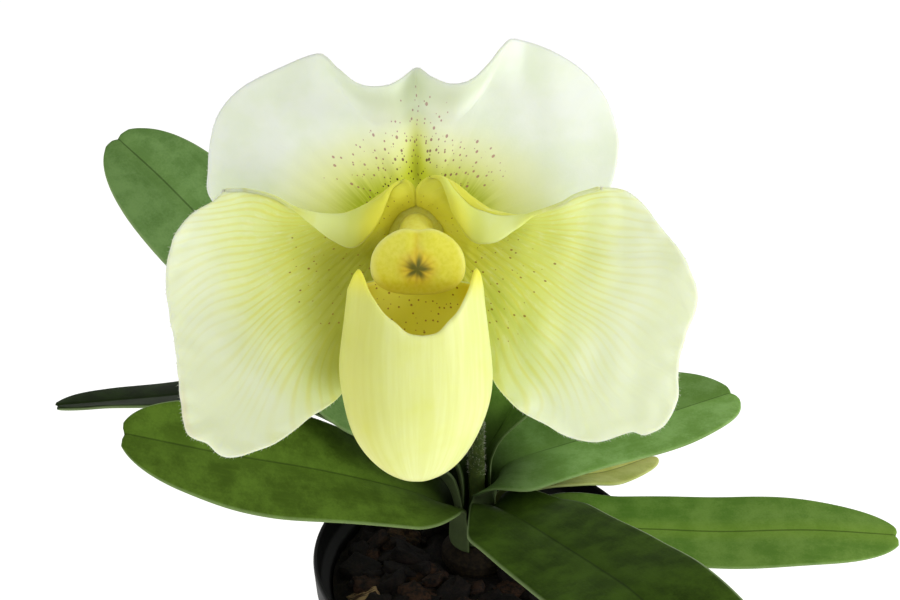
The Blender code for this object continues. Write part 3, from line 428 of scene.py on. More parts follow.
def petal_tissue(tree):
    """Petal tissue: thin and softly matt, so light goes into it and comes out again round the shaded places. It is
    cream at the margin and turns lime, then deep yellow towards the heart. Yellow veins about 2.6 mm apart fork
    outwards, with a faint net of paler cells between them, and fine brown dots sit near the heart. Olive painted
    shade darkens the inner part beside the pouch, and a strip at the tip is painted in the back's beige with
    painted shade, for a curled margin that the blade doesn't have."""
    plan, along, dotted = (
        node(tree, MARK, {"attribute_name": name}, (), 1) for name in ("plan", "along", "spot_place"))
    run, heart, pale, fork, vein, olive, back, dense = (
        node(tree, MARK, {"attribute_name": name}, (), 2) for name in (
            "run", "heart_share", "net_share", "fork_share", "vein_share", "olive_share", "back_tone_and_painted_shade_share",
            "dot_share"))
    cloud = node(tree, NOISE, PLANE, {"Vector": plan, "Scale": 0.11, "Detail": 3.0})
    net = node(tree, NOISE, PLANE, {"Vector": along, "Scale": 1.0, "Detail": 3.0, "Roughness": 0.6})
    grain = node(tree, NOISE, PLANE, {"Vector": plan, "Scale": 2.4, "Detail": 3.0, "Roughness": 0.6})
    heart = node(tree, MATH, TIMES_PLUS, (cloud, 0.10, node(tree, MATH, MINUS, (heart, 0.05))))
    pale = node(tree, MATH, TIMES, (node(tree, RANGE, SMOOTH, (net, 0.48, 0.78)), pale))
    main = node(tree, RANGE, SMOOTH, (node(tree, MATH, TO_NEAREST, (run, 0.5)), 0.19, 0.02))
    forks = node(tree, MATH, TO_NEAREST, (node(tree, MATH, TIMES, (run, 2.0)), 0.5))
    forks = node(tree, MATH, TIMES, (node(tree, RANGE, SMOOTH, (forks, 0.24, 0.02)), fork))
    lines = node(tree, MATH, LARGEST, (main, forks))
    strength = node(tree, MATH, TIMES, (node(tree, RANGE, SMOOTH, (cloud, 0.05, 0.60)), vein))
    strength = node(tree, MATH, TIMES, (strength, lines))
    dots = node(tree, MATH, TIMES, (spots(tree, dotted, dense, 0.135), 0.80))
    # The olive layer is painted shade beside the pouch; the beige layer is the back's tone with painted shade
    colour = coats(tree, tone("#EBF6D2"), ((heart, 0.0, 0.30), "#E3EFAE"), ((heart, 0.20, 0.58), "#D8E070"),
                   ((heart, 0.55, 0.86), "#DCDA4A"), ((heart, 0.84, 1.02), "#E0D83C"), (pale, "#F2F8E4"),
                   (strength, "#DCD640"), (olive, "#9CA02C"), (back, "#DDD6BA"), (dots, "#86571F"))
    height = node(tree, MATH, TIMES_PLUS, (net, 0.35, node(tree, MATH, TIMES_PLUS, (grain, 0.45, lines))))
    return colour, height, 0.25, 0.00010


def sepal_tissue(tree):
    """The dorsal sepal's tissue: white with a breath of green, a yellow glow at its base, olive streaks that run
    out beside the petals, a green midrib, and maroon spots, darker and denser at the midrib. A grey-green band of
    painted shade lies under the top margin, where it bends forward."""
    plan, along, dotted = (
        node(tree, MARK, {"attribute_name": name}, (), 1) for name in ("plan", "along", "spot_place"))
    glow, olive, hood, midrib, dense, dark = (
        node(tree, MARK, {"attribute_name": name + "_share"}, (), 2) for name in (
            "heart", "olive", "hood", "midrib", "dot", "dark"))
    cloud = node(tree, NOISE, PLANE, {"Vector": plan, "Scale": 0.09, "Detail": 4.0})
    grain = node(tree, NOISE, PLANE, {"Vector": plan, "Scale": 1.4, "Detail": 4.0, "Roughness": 0.6})
    streak = node(tree, NOISE, PLANE, {"Vector": along, "Scale": 1.0, "Detail": 2.0, "Roughness": 0.5})
    streaked = node(tree, MATH, TIMES_PLUS, (node(tree, RANGE, SMOOTH, (streak, 0.30, 0.66)), 0.60, 0.40))
    olive = node(tree, MATH, TIMES, (streaked, olive))
    other = node(tree, "ShaderNodeVectorMath", {"operation": "ADD"}, (dotted, (7.3, 3.1, 0.0)))
    dots = node(tree, MATH, LARGEST, (spots(tree, dotted, dense, 0.200), spots(tree, other, dense, 0.145)))
    dots = node(tree, MATH, TIMES, (node(tree, MATH, TIMES_PLUS, (dark, 0.30, 0.66)), dots))
    # The hood layer is painted shade: a grey-green band under the forward-bent top margin
    colour = coats(tree, tone("#F2FCE9"), ((cloud, 0.30, 0.75), "#EAF6DC"), (hood, "#CBD6BD"),
                   ((glow, 0.0, 0.55), "#F0F6B8"), ((glow, 0.40, 0.95), "#DCE444"), (olive, "#AEBC20"),
                   (midrib, "#A8AC30"), (dots, coats(tree, tone("#A0486A"), (dark, "#42280C"))))
    return colour, node(tree, MATH, TIMES_PLUS, (grain, 0.8, streak)), 0.25, 0.00010


def pouch_tissue(tree):
    """The slipper's waxy tissue: pale lemon, with soft upright streaks about 1 mm wide and a satin shine, and a
    darker yellow painted shade on its left flank, which faces away from the key light. Its thin wall lets light
    through, so the inside glows deeper yellow, orange beside the lobes, with small brown dots."""
    wrap, dotted = (node(tree, MARK, {"attribute_name": name}, (), 1) for name in ("wrap", "spot_place"))
    lobe, deep, sides, dense, side = (
        node(tree, MARK, {"attribute_name": name}, (), 2) for name in (
            "lobe_share", "left_flank_painted_shade_share", "sides_share", "dot_share", "side"))
    streaks = node(tree, NOISE, PLANE, {"Vector": wrap, "Scale": 0.55, "Detail": 3.0, "Roughness": 0.5})
    cloud = node(tree, NOISE, {}, {"Vector": node(tree, PLACE, {}, (), 3), "Scale": 85.0, "Detail": 3.0})
    cloud = node(tree, MATH, TIMES, (node(tree, RANGE, SMOOTH, (cloud, 0.48, 0.80)), 0.7))
    dots = node(tree, MATH, TIMES, (spots(tree, dotted, dense, 0.20), 0.75))
    inner = coats(tree, tone("#FCF86C"), (sides, "#FCE444"), (dots, "#98581E"))
    # The left flank's darker yellow is painted shade
    colour = coats(tree, tone("#E9F296"), ((streaks, 0.30, 0.72), "#EFFAA6"), (cloud, "#E4EC70"),
                   (deep, "#CCCA56"), (lobe, "#EEE84A"), ((side, 0.2, -0.2), inner))
    return colour, streaks, 0.15, 0.00012


def shield_tissue(tree):
    """The staminode's waxy yellow, orange round the boss and along the furrow, with a soft dark green star whose
    brown rays fade outwards, and a paler margin, paler still at the upper left with a painted highlight."""
    plan = node(tree, MARK, {"attribute_name": "plan"}, (), 1)
    halo, rim, rays, star = (
        node(tree, MARK, {"attribute_name": name + "_share"}, (), 2) for name in ("halo", "rim", "ray", "star"))
    grain = node(tree, NOISE, PLANE, {"Vector": plan, "Scale": 1.1, "Detail": 4.0})
    # The rim layer is the paler margin with a painted highlight at the upper left
    colour = coats(tree, tone("#F0E858"), ((grain, 0.30, 0.75), "#E8E044"), (halo, "#E0B922"), (rim, "#F1EC8E"),
                   (rays, "#A87E16"), (star, "#566226"))
    return colour, grain, 0.12, 0.00012


def leaf_cuticle(tree, dark, light, centre, far_half_painted_shade):
    """A leaf's waxy cuticle: dull satin, softly mottled in two greens, with painted shade in the furrow along the
    midrib, a clearer band along the midrib, fine cells half a millimetre wide, and a hair-thin pale margin. The
    last argument darkens the half on the left of the leaf's direction, painted shade for the half that the fold
    turns from the light. Painted shade darkens the sheath towards the crown, and the back is paler."""
    strap = node(tree, MARK, {"attribute_name": "strap"}, (), 1)
    foot, margin, side = (
        node(tree, MARK, {"attribute_name": name}, (), 2) for name in ("crown_painted_shade_share", "margin_share", "side"))
    across = node(tree, "ShaderNodeSeparateXYZ", {}, (strap,), 0)
    place = node(tree, PLACE, {}, (), 3)
    patches = node(tree, NOISE, {}, {"Vector": place, "Scale": 120.0, "Detail": 4.0, "Roughness": 0.60})
    fleck = node(tree, NOISE, {}, {"Vector": place, "Scale": 1500.0, "Detail": 3.0, "Roughness": 0.6})
    long_way = node(tree, "ShaderNodeMapping", {}, {"Vector": strap, "Scale": (1.0, 0.09, 1.0)})
    streak = node(tree, NOISE, PLANE, {"Vector": long_way, "Scale": 0.7, "Detail": 4.0, "Roughness": 0.6})
    mottle = node(tree, MATH, TIMES_PLUS, (fleck, 0.25, node(tree, MATH, TIMES, (patches, 0.75))))
    middle = node(tree, MATH, {"operation": "ABSOLUTE"}, (across,))
    streaks, band, left, furrow = (
        node(tree, MATH, TIMES, (node(tree, RANGE, SMOOTH, ramp), most)) for ramp, most in (
            ((streak, 0.45, 0.80), 0.30), ((middle, 6.0, 0.5), 0.35), ((across, 0.3, -0.6), far_half_painted_shade),
            ((middle, 0.55, 0.10), 0.55)))
    # Painted shade: the far half, the furrow along the midrib and the sheath towards the crown, all darkened
    deep = node(tree, MATH, LARGEST, (node(tree, MATH, LARGEST, (left, furrow)), foot))
    pale = node(tree, MATH, TIMES_PLUS, (node(tree, RANGE, SMOOTH, (side, 0.2, -0.2)), 0.28, margin))
    colour = coats(tree, tone(dark), ((mottle, 0.36, 0.66), light), (streaks, light), (band, centre),
                   (deep, "#1C280C"), (pale, "#A6BC84"))
    veins = node(tree, MATH, {"operation": "SINE"}, (node(tree, MATH, TIMES, (across, math.tau / 1.3)),))
    return colour, node(tree, MATH, TIMES_PLUS, (veins, 0.08, fleck)), 0.30, 0.00016


def two_tones(tree, first, second, scale, bump_mm):
    """A plain surface in two close tones, mixed by a noise whose grains are 1/scale metres wide, so that it never
    looks flat. Its bump follows the same noise and is bump_mm deep."""
    place = node(tree, PLACE, {}, (), 3)
    grain = node(tree, NOISE, {}, {"Vector": place, "Scale": scale, "Detail": 5.0, "Roughness": 0.6})
    return coats(tree, tone(first), ((grain, 0.35, 0.68), second)), grain, 0.5, bump_mm * MM


def bark(tree):
    """Damp bark chips and fine mix: rough, layered and nearly black, with brown faces on some chips and pale tan
    fibres on a few."""
    place = node(tree, PLACE, {}, (), 3)
    fibres = node(tree, MARK, {"attribute_name": "fibre"}, (), 1)
    tint = node(tree, MARK, {"attribute_name": "tint"}, (), 2)
    layers = node(tree, NOISE, {}, {"Vector": place, "Scale": 420.0, "Detail": 6.0, "Roughness": 0.7})
    fibre = node(tree, NOISE, PLANE, {"Vector": fibres, "Scale": 1.0, "Detail": 4.0})
    brown, tan = (
        node(tree, MATH, TIMES, (node(tree, RANGE, SMOOTH, chip), node(tree, RANGE, SMOOTH, grain)))
        for chip, grain in (((tint, 0.60, 0.92), (layers, 0.35, 0.62)), ((tint, 0.93, 0.97), (fibre, 0.42, 0.62))))
    colour = coats(tree, tone("#080505"), ((layers, 0.38, 0.72), "#1D120D"), (brown, "#3E2718"), (tan, "#A08560"))
    return colour, node(tree, MATH, TIMES_PLUS, (fibre, 0.5, layers)), 0.8, 0.0006


# The pot and what it holds


def pot_radius(height):
    """The outer radius of the tapered wall at a height, below the rim's band."""
    top = POT_RIM_RADIUS - RIM_BAND_STEP
    return POT_BASE_RADIUS + (top - POT_BASE_RADIUS) * height / POT_HEIGHT


def make_pot():
    """The turned pot: its outline's corners are rounded, then the drain holes are cut through its floor. Its
    moulded polypropylene is nearly black, with a dull shine and a very fine grain."""
    outline = [
        (0.0, 0.0),
        (POT_BASE_RADIUS, 0.0),
        (pot_radius(BAND_FOOT), BAND_FOOT),
        (POT_RIM_RADIUS - LIP_ROUND, BAND_FOOT + LIP_ROUND),
        (POT_RIM_RADIUS, POT_HEIGHT - 1.5 * LIP_ROUND),
        (POT_RIM_RADIUS - LIP_ROUND, POT_HEIGHT),
        (POT_RIM_RADIUS - POT_WALL, POT_HEIGHT - 0.7 * LIP_ROUND),
        (POT_RIM_RADIUS - POT_WALL - LIP_ROUND, BAND_FOOT + 5 * LIP_ROUND),
        (pot_radius(BAND_FOOT) - POT_WALL, BAND_FOOT + 2 * LIP_ROUND),
        (pot_radius(POT_FLOOR) - POT_WALL, POT_FLOOR),
        (0.0, POT_FLOOR),
    ]
    pot = turned("nursery_pot", rounded(outline, 0.0009, 5), 160)
    for i in range(DRAIN_HOLES):
        around = math.tau * (i + 0.5) / DRAIN_HOLES
        centre = np.array((math.cos(around), math.sin(around), 0.0)) * DRAIN_CIRCLE_RADIUS
        path = centre + UP * np.linspace(-POT_FLOOR, 2 * POT_FLOOR, 2)[:, None]
        cutter = tubes(f"drain_{i}", [tube_grid(path, np.full(2, DRAIN_RADIUS), 32)], [path])
        cut = pot.modifiers.new("drain", "BOOLEAN")
        cut.operation = "DIFFERENCE"
        cut.object = cutter
        bpy.context.view_layer.objects.active = pot
        bpy.ops.object.modifier_apply(modifier=cut.name)
        bpy.data.objects.remove(cutter)
    pot.data.set_sharp_from_angle(angle=math.radians(40))
    finish = surface("pot_polypropylene_moulded", {"Roughness": 0.55, "IOR": 1.49, "Specular IOR Level": 0.25},
                     two_tones, "#050506", "#0B0B0C", 900.0, 0.02)
    dress(pot, "pot_plastic", finish, "pot")


def make_mix(finish):
    """The mix's plug with an uneven top, and on it the chips: boxes with rounded edges, from one grid of angles
    whose sines and cosines are raised to a small power, then stretched, turned and tipped at random."""
    wall = POT_WALL + 2 * MIX_GAP
    top = pot_radius(BAND_FOOT) - wall
    rows = np.linspace(0.0, 1.0, 40)
    radius = np.concatenate([[0.001, pot_radius(POT_FLOOR) - wall], top * np.sqrt(1 - rows[:-1] ** 2)])
    height = np.where(np.arange(41) < 2, POT_FLOOR + GAP, MIX_TOP)
    turn = np.linspace(0.0, math.tau, 96, endpoint=False)
    x, y = radius[:, None] * np.cos(turn), radius[:, None] * np.sin(turn)
    z = height[:, None] + 0 * x
    rough = 0.0011 * unevenness(x, y, 0.009, 4) + 0.0005 * unevenness(x, y, 0.004, 5) - 0.0008
    dip = -0.003 * bell(np.hypot(x - CROWN_X, y - CROWN_Y), 0.012)
    z[2:] += (rough + dip)[2:]
    grid = stacked(x, y, z)
    points, quads, triangles = closed_loops([grid], [np.zeros((len(grid), 3))])
    marks = {"tint": np.full(len(points), BED_TINT), "fibre": points * 400.0}
    bed = solid("mix_bed", points, quads, triangles, marks)
    dress(bed, "bark_mix", finish, "potting_mix")

    rng = np.random.default_rng(CHIP_SEED)
    share = (np.arange(CHIP_COUNT) + 0.5) / CHIP_COUNT
    radius = np.sqrt(share) * (top - 0.006)
    golden = math.pi * (3 - math.sqrt(5))
    around = golden * np.arange(CHIP_COUNT)
    place = stacked(radius * np.cos(around), radius * np.sin(around),
                    MIX_TOP + rng.uniform(-0.0012, 0.0022, CHIP_COUNT))
    place = place[np.hypot(place[:, 0] - CROWN_X, place[:, 1] - CROWN_Y) > ROOT_HOLE_RADIUS + 0.005]
    count = len(place)
    u = np.linspace(0.06, math.pi - 0.06, 9)[:, None]
    v = np.linspace(0.0, math.tau, 16, endpoint=False)[None, :]
    out, high, left, front = (
        np.sign(w) * np.abs(w) ** CHIP_EDGES for w in (np.sin(u), np.cos(u), np.sin(v), np.cos(v)))
    template = stacked(out * front, out * left, high)
    length = CHIP_LENGTH * rng.uniform(0.55, 1.25, count)
    size = stacked(length, length * rng.uniform(0.45, 0.8, count), length * rng.uniform(0.25, 0.5, count)) / 2
    shape = template[None] * size[:, None, None]
    knock = rng.uniform(-0.14, 0.14, shape.shape[:3])
    shape = shape * (1 + knock[..., None])
    swings = rng.uniform(np.negative(CHIP_SWING), CHIP_SWING, (count, 3))
    matrices = np.array([
        Matrix.Rotation(yaw, 3, "Z") @ Matrix.Rotation(pitch, 3, "X") @ Matrix.Rotation(roll, 3, "Y")
        for yaw, pitch, roll in swings])
    shape = np.einsum("nij,nuvj->nuvi", matrices, shape) + place[:, None, None]
    reach = np.hypot(shape[..., 0], shape[..., 1])
    limit = POT_RIM_RADIUS - POT_WALL - 3 * LIP_ROUND - 0.0012
    shape[..., :2] *= np.minimum(1.0, limit / np.maximum(reach, 1e-6))[..., None]
    centres = np.repeat(place[:, None], 9, axis=1)
    points, quads, triangles = closed_loops(list(shape), list(centres))
    each = len(points) // count
    tint = np.repeat(rng.uniform(0.0, 1.0, count), each)
    lying = np.einsum("nji,nvj->nvi", matrices, points.reshape(count, each, 3) - place[:, None])
    fibre = (lying * CHIP_GRAIN).reshape(-1, 3) + tint[:, None] * 40.0
    chips = solid("bark_chips", points, quads, triangles, {"tint": tint, "fibre": fibre})
    dress(chips, "bark_mix", finish)


def make_rootstock(finish):
    """The swollen foot with its cone, ringed by old leaf scars, and the fleshy roots inside the hole."""
    outline = np.array(((0.0760, 0.45 * CROWN_RADIUS), (0.0785, 0.88 * CROWN_RADIUS), (0.0830, CROWN_RADIUS),
                        (CONE_FOOT, CONE_FOOT_RADIUS), (CONE_TOP, CONE_TOP_RADIUS)))
    height = np.linspace(outline[0, 0], outline[-1, 0], 50)
    radii = np.interp(height, outline[:, 0], outline[:, 1]) - 0.00012 * (1 + np.sin(height * 5200.0))
    path = stacked(CROWN_X, CROWN_Y, height)
    grids, paths = [tube_grid(path, radii, 48)], [path]
    for i in range(ROOT_COUNT):
        around = math.tau * i / ROOT_COUNT + 0.3
        out = np.array((math.cos(around), math.sin(around), 0.0))
        across = np.array((-out[1], out[0], 0.0))
        heart = np.array((CROWN_X, CROWN_Y, 0.0))
        reach = (0.0030, 0.0078, 0.0092, 0.0080, 0.0088)
        heights = (0.0815, 0.0745, 0.0630, 0.0500, ROOT_HOLE_FLOOR + GAP + 0.0015 * (1 + i % 2))
        sway = (0.0, 0.0006, -0.0007, 0.0008, 0.0)
        points = [heart + out * r + across * s + UP * z for r, z, s in zip(reach, heights, sway)]
        root = smooth_path(points, 40)
        thickness = ROOT_RADIUS * np.interp(np.linspace(0, 1, 40), (0.0, 0.2, 0.8, 1.0), (1.0, 1.0, 0.85, 0.3))
        grids.append(tube_grid(root, thickness, 14))
        paths.append(root)
    dress(tubes("rootstock_and_roots", grids, paths), "root_skin", finish, "rootstock")


def make_stem(finish, hair_finish):
    """The flower stem and the ribbed ovary, both set with short hairs that stand out and a little forward."""
    path = smooth_path(STEM_PATH, 90)
    radii = np.linspace(STEM_FOOT_RADIUS, STEM_RADIUS, 90)
    stem = tube_grid(path, radii, 32)
    dress(tubes("stem", [stem], [path]), "stem_green", finish, "flower_stem")
    path_2 = smooth_path(OVARY_PATH, 80)
    radii_2 = STEM_RADIUS + (OVARY_RADIUS - STEM_RADIUS) * smooth_step(np.linspace(0.0, 1.0, 80) / 0.6)
    ovary = tube_grid(path_2, radii_2, 60, OVARY_RIBS, OVARY_RIB_SHARE)
    dress(tubes("ribbed_ovary", [ovary], [path_2]), "stem_green", finish, "ovary")
    rng = np.random.default_rng(21)
    roots, directions = [], []
    for grid, centre, count in ((stem[18:], path[18:], 1500), (ovary[:-8], path_2[:-8], 900)):
        row, column = rng.integers(0, grid.shape[0], count), rng.integers(0, grid.shape[1], count)
        root = grid[row, column]
        out = unit(root - centre[row])
        roots.append(root - out * 0.00008)
        directions.append(out + np.gradient(centre, axis=0)[row] * 250 + rng.normal(0.0, 0.25, root.shape))
    lengths = rng.uniform(0.0005, 0.0011, 2400)
    fuzz = hairs("stem_hairs", np.concatenate(roots), np.concatenate(directions), lengths, 0.00004)
    dress(fuzz, "stem_green", hair_finish)


# The bract: its midrib, its size and the angle by which each half folds back
BRACT_MIDRIB = ((-0.0072, -0.0212, 0.1925), (-0.0090, -0.0235, 0.2010), (-0.0118, -0.0285, 0.2110),
                (-0.0135, -0.0345, 0.2200), (-0.0142, -0.0400, 0.2265))
BRACT_LENGTH = 0.036
BRACT_HALF_WIDTH = 0.0068
BRACT_FOLD = math.radians(35)


def make_bract(finish):
    """The folded bract: each half of a row runs from the midrib out and back, over a sine-shaped width."""
    rows, columns = 80, 31
    spine = smooth_path(BRACT_MIDRIB, rows)
    t = np.linspace(0.0, 1.0, rows)
    tangent = unit(np.gradient(spine, axis=0))
    side = unit(np.cross(tangent, (0.0, 0.7, 0.7)))
    back = np.cross(tangent, side)
    half = BRACT_HALF_WIDTH * np.sin(math.pi * (0.22 + 0.76 * t)) ** 0.8
    c = np.linspace(-1.0, 1.0, columns)[None, :, None]
    bent = np.sqrt(c**2 + 0.01) - 0.1
    folded = side[:, None] * c * math.cos(BRACT_FOLD) - back[:, None] * bent * math.sin(BRACT_FOLD)
    grid = spine[:, None] + half[:, None, None] * folded
    strap = stacked(c[..., 0] * half[:, None] / MM, t[:, None] * BRACT_LENGTH / MM, 0.0)
    marks = {"strap": strap, "margin_share": 0.0, "crown_painted_shade_share": 0.0}
    dress(shell("folded_bract", grid, PETAL_THICKNESS, -back.mean(axis=0), marks), "stem_green", finish, "bract")


# Each leaf: the layer of its sheath, the direction it leaves in and how far its sheath wraps to each side, in
# degrees, the height of its sheath's top, its midrib from there to the tip, its width as a share of the full one,
# the share of its length in which it widens, the length in which its halves open, the angle of each half and the
# leaf's roll about its midrib at the tip, in degrees, and where its tip starts to narrow. One leaf also has a hug,
# how much further it wraps on the right of its direction, and a lobe, how far that side's margin reaches out just
# above the sheath
LEAVES = {
    "leaf_back_left": dict(
        layer=1, azimuth=158, wrap=62, sheath_top=0.112,
        midrib=((-0.0159, 0.0140, 0.1252), (-0.0257, 0.0158, 0.1334), (-0.0381, 0.0190, 0.1436),
                (-0.0504, 0.0240, 0.1560), (-0.0713, 0.0330, 0.1766), (-0.0894, 0.0430, 0.1914),
                (-0.1005, 0.0500, 0.2000), (-0.1150, 0.0600, 0.2092)),
        width=1.02, swell=0.24, opening=0.045, fold=8, roll=32, taper=0.70),
    "leaf_left_high": dict(
        layer=2, azimuth=178, wrap=55, sheath_top=0.104,
        midrib=((-0.0180, 0.0125, 0.1190), (-0.0313, 0.0152, 0.1292), (-0.0501, 0.0205, 0.1370),
                (-0.0715, 0.0232, 0.1393), (-0.0943, 0.0218, 0.1370), (-0.1168, 0.0165, 0.1378),
                (-0.1303, 0.0110, 0.1398)),
        width=0.86, swell=0.24, opening=0.045, fold=9, roll=-16, taper=0.60),
    "leaf_left_low": dict(
        layer=3, azimuth=200, wrap=54, sheath_top=0.0970,
        midrib=((-0.0150, 0.0062, 0.1078), (-0.0250, 0.0026, 0.1150), (-0.0480, -0.0055, 0.1274),
                (-0.0733, -0.0140, 0.1388), (-0.0873, -0.0195, 0.1462), (-0.1005, -0.0235, 0.1525)),
        width=1.07, swell=0.18, opening=0.028, fold=6, roll=22, taper=0.58),
    "leaf_back_right": dict(
        layer=0, azimuth=51, wrap=60, sheath_top=0.117,
        midrib=((0.0068, 0.0202, 0.1262), (0.0125, 0.0270, 0.1328), (0.0240, 0.0410, 0.1425),
                (0.0355, 0.0560, 0.1540), (0.0455, 0.0710, 0.1640)),
        width=0.92, swell=0.30, opening=0.045, fold=14, roll=0, taper=0.64),
    "leaf_right_high": dict(
        layer=1, azimuth=21, wrap=58, hug=84, lobe=(-0.007, -0.005, -0.001), sheath_top=0.106,
        midrib=((0.0100, 0.0175, 0.1148), (0.0269, 0.0235, 0.1172), (0.0460, 0.0296, 0.1196),
                (0.0675, 0.0385, 0.1217), (0.0857, 0.0460, 0.1235)),
        width=1.02, swell=0.13, opening=0.020, fold=12, roll=-5, taper=0.70),
    "leaf_right_low": dict(
        layer=4, azimuth=-6, wrap=46, sheath_top=0.0900,
        midrib=((0.0150, 0.0100, 0.0955), (0.0250, 0.0080, 0.0978), (0.0400, 0.0055, 0.0980),
                (0.0580, 0.0040, 0.0982), (0.0762, 0.0012, 0.0996), (0.1020, -0.0025, 0.1030),
                (0.1280, -0.0060, 0.1038)),
        width=0.85, swell=0.31, opening=0.040, fold=4, roll=-8, taper=0.50),
    "leaf_front_right": dict(
        layer=2, azimuth=-62, wrap=54, sheath_top=0.1015,
        midrib=((0.0048, 0.0000, 0.1098), (0.0112, -0.0120, 0.1145), (0.0208, -0.0320, 0.1213),
                (0.0298, -0.0520, 0.1284), (0.0378, -0.0720, 0.1352), (0.0480, -0.0980, 0.1385),
                (0.0580, -0.1240, 0.1340)),
        width=1.05, swell=0.22, opening=0.026, fold=5, roll=-7, taper=0.70),
    "leaf_old": dict(
        layer=3, azimuth=30, wrap=38, sheath_top=0.0965,
        midrib=((0.0150, 0.0192, 0.1024), (0.0305, 0.0265, 0.1026), (0.0440, 0.0358, 0.0984),
                (0.0620, 0.0505, 0.0948)),
        width=0.54, swell=0.30, opening=0.045, fold=14, roll=0, taper=0.50),
}

# Each leaf's dark and light mottling, the band along its midrib, and how much painted shade darkens its far half
LEAF_TONES = {
    "leaf_back_left": ("#5C7E40", "#749656", "#6A8C48", 0.10),
    # painted shade: this leaf's greens are set nearly black, darker than a leaf's own green
    "leaf_left_high": ("#141F05", "#23340E", "#1A2808", 0.0),
    "leaf_left_low": ("#445C18", "#5E7C28", "#587624", 0.10),
    "leaf_back_right": ("#527A28", "#709A3A", "#668E32", 0.0),
    "leaf_right_high": ("#76A04A", "#92BC6A", "#82AC52", 0.36),
    "leaf_right_low": ("#5E8432", "#789A46", "#86A838", 0.0),
    "leaf_front_right": ("#2C400C", "#425C18", "#385010", 0.0),
    "leaf_old": ("#BCC068", "#D4D488", "#C0BC5C", 0.0),
}


def cone_height(radius):
    """The height of the rootstock's cone at a distance from its axis."""
    slope = (CONE_TOP - CONE_FOOT) / (CONE_FOOT_RADIUS - CONE_TOP_RADIUS)
    return CONE_TOP - slope * (radius - CONE_TOP_RADIUS)


